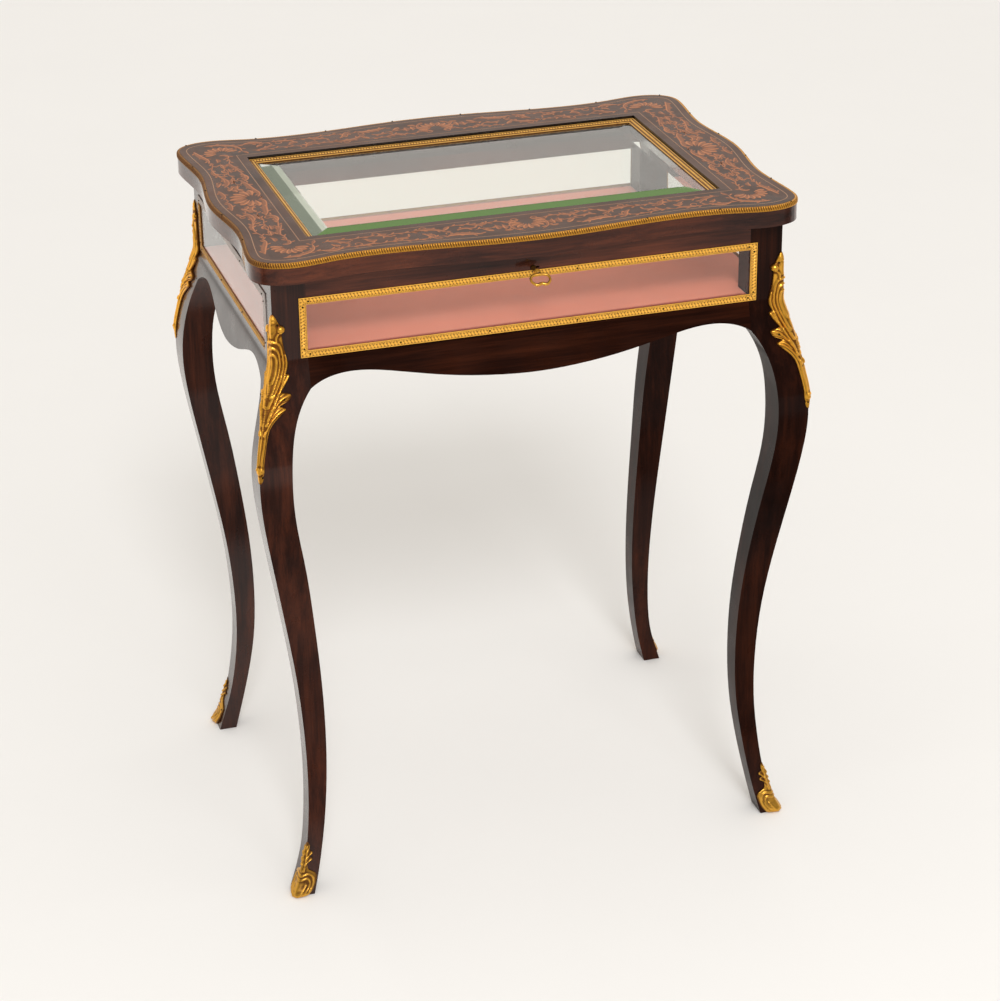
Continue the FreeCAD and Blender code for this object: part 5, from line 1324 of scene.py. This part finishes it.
def studio_world():
    """Even white for the camera, white behind the table and grey before it for gloss, and
    a moderate fill for everything else."""
    world = bpy.data.worlds.new("studio")
    bpy.context.scene.world = world
    t = Tree(world)
    path = t.node("ShaderNodeLightPath", output="Is Camera Ray")
    outputs = path.socket.node.outputs
    seen = path.math("MAXIMUM", Wire(t, outputs["Is Transmission Ray"]))
    gloss = Wire(t, outputs["Is Glossy Ray"])
    way = t.node("ShaderNodeTexCoord", output="Generated")
    axes = t.node("ShaderNodeSeparateXYZ", None, {0: way}, output=1)
    sheen = axes.step(-0.4, 0.3) * 0.84 + 0.08
    strength = seen * 0.93 + (1 - seen) * (gloss * sheen + (1 - gloss) * 0.8)
    colour = t.mix(seen, (1.0, 0.955, 0.89), (1.0, 0.98, 0.955))
    light = t.node("ShaderNodeBackground", None, {"Color": colour, "Strength": strength})
    t.node("ShaderNodeOutputWorld", None, {"Surface": light})


FLOOR_RADIUS, FLOOR_GAP = 9.0, 0.0003


class DISPLAYTABLE_OT_stage(bpy.types.Operator):
    """Set up the floor, the lamps, the world and the camera"""
    bl_idname = "display_table.stage"
    bl_label = "Stage"

    def execute(self, context):
        around = circle(64)
        rim = np.stack([np.cos(around), np.sin(around), 0 * around], -1) * FLOOR_RADIUS
        mesh = bpy.data.meshes.new("floor")
        mesh.from_pydata(rim - (0, 0, FLOOR_GAP), [], [list(range(64))])
        mesh.materials.append(studio_floor("studio_floor", (.874, .868, .860)))
        floor = bpy.data.objects.new("floor", mesh)
        context.scene.collection.objects.link(floor)
        add_lamp("SUN", place=(-0.35, -2.3, 1.98), aim=(0, 0, 0), size=15.0, energy=1.05,
                 colour=(0.98, 0.99, 1.0))
        add_lamp("AREA", place=(-0.1, -2.6, 2.3), aim=(0, 0, 0.45), size=2.2, energy=29)
        studio_world()
        add_camera(context.scene.display_table_sizes.camera_distance)
        context.scene.view_settings.view_transform = "Standard"
        return {"FINISHED"}


# ---- panel and registration
PIECES = (DISPLAYTABLE_OT_woodwork, DISPLAYTABLE_OT_glazing, DISPLAYTABLE_OT_fittings,
          DISPLAYTABLE_OT_key, DISPLAYTABLE_OT_gilt_frames, DISPLAYTABLE_OT_edge_band,
          DISPLAYTABLE_OT_glass_moulding, DISPLAYTABLE_OT_marquetry, DISPLAYTABLE_OT_mounts,
          DISPLAYTABLE_OT_lining, DISPLAYTABLE_OT_stage)


class DISPLAYTABLE_PT_sidebar(bpy.types.Panel):
    """Pieces, sizes and colours of the display table"""
    bl_label = "Display Table"
    bl_space_type = "VIEW_3D"
    bl_region_type = "UI"
    bl_category = "Display Table"

    def draw(self, context):
        for piece in PIECES:
            self.layout.operator(piece.bl_idname)
        for group in (context.scene.display_table_sizes, context.scene.display_table_colours):
            for name in group.bl_rna.properties.keys():
                if name not in ("rna_type", "name"):
                    self.layout.prop(group, name)


CLASSES = (DisplayTableSizes, DisplayTableColours, *PIECES, DISPLAYTABLE_PT_sidebar)


def register():
    for cls in CLASSES:
        bpy.utils.register_class(cls)
    bpy.types.Scene.display_table_sizes = PointerProperty(type=DisplayTableSizes)
    bpy.types.Scene.display_table_colours = PointerProperty(type=DisplayTableColours)


def unregister():
    del bpy.types.Scene.display_table_colours
    del bpy.types.Scene.display_table_sizes
    for cls in reversed(CLASSES):
        bpy.utils.unregister_class(cls)


def main():
    register()
    for piece in PIECES:
        group, name = piece.bl_idname.split(".")
        if getattr(getattr(bpy.ops, group), name)() != {"FINISHED"}:
            raise RuntimeError(f"{piece.bl_label} was not finished")


if __name__ == "__main__":
    main()
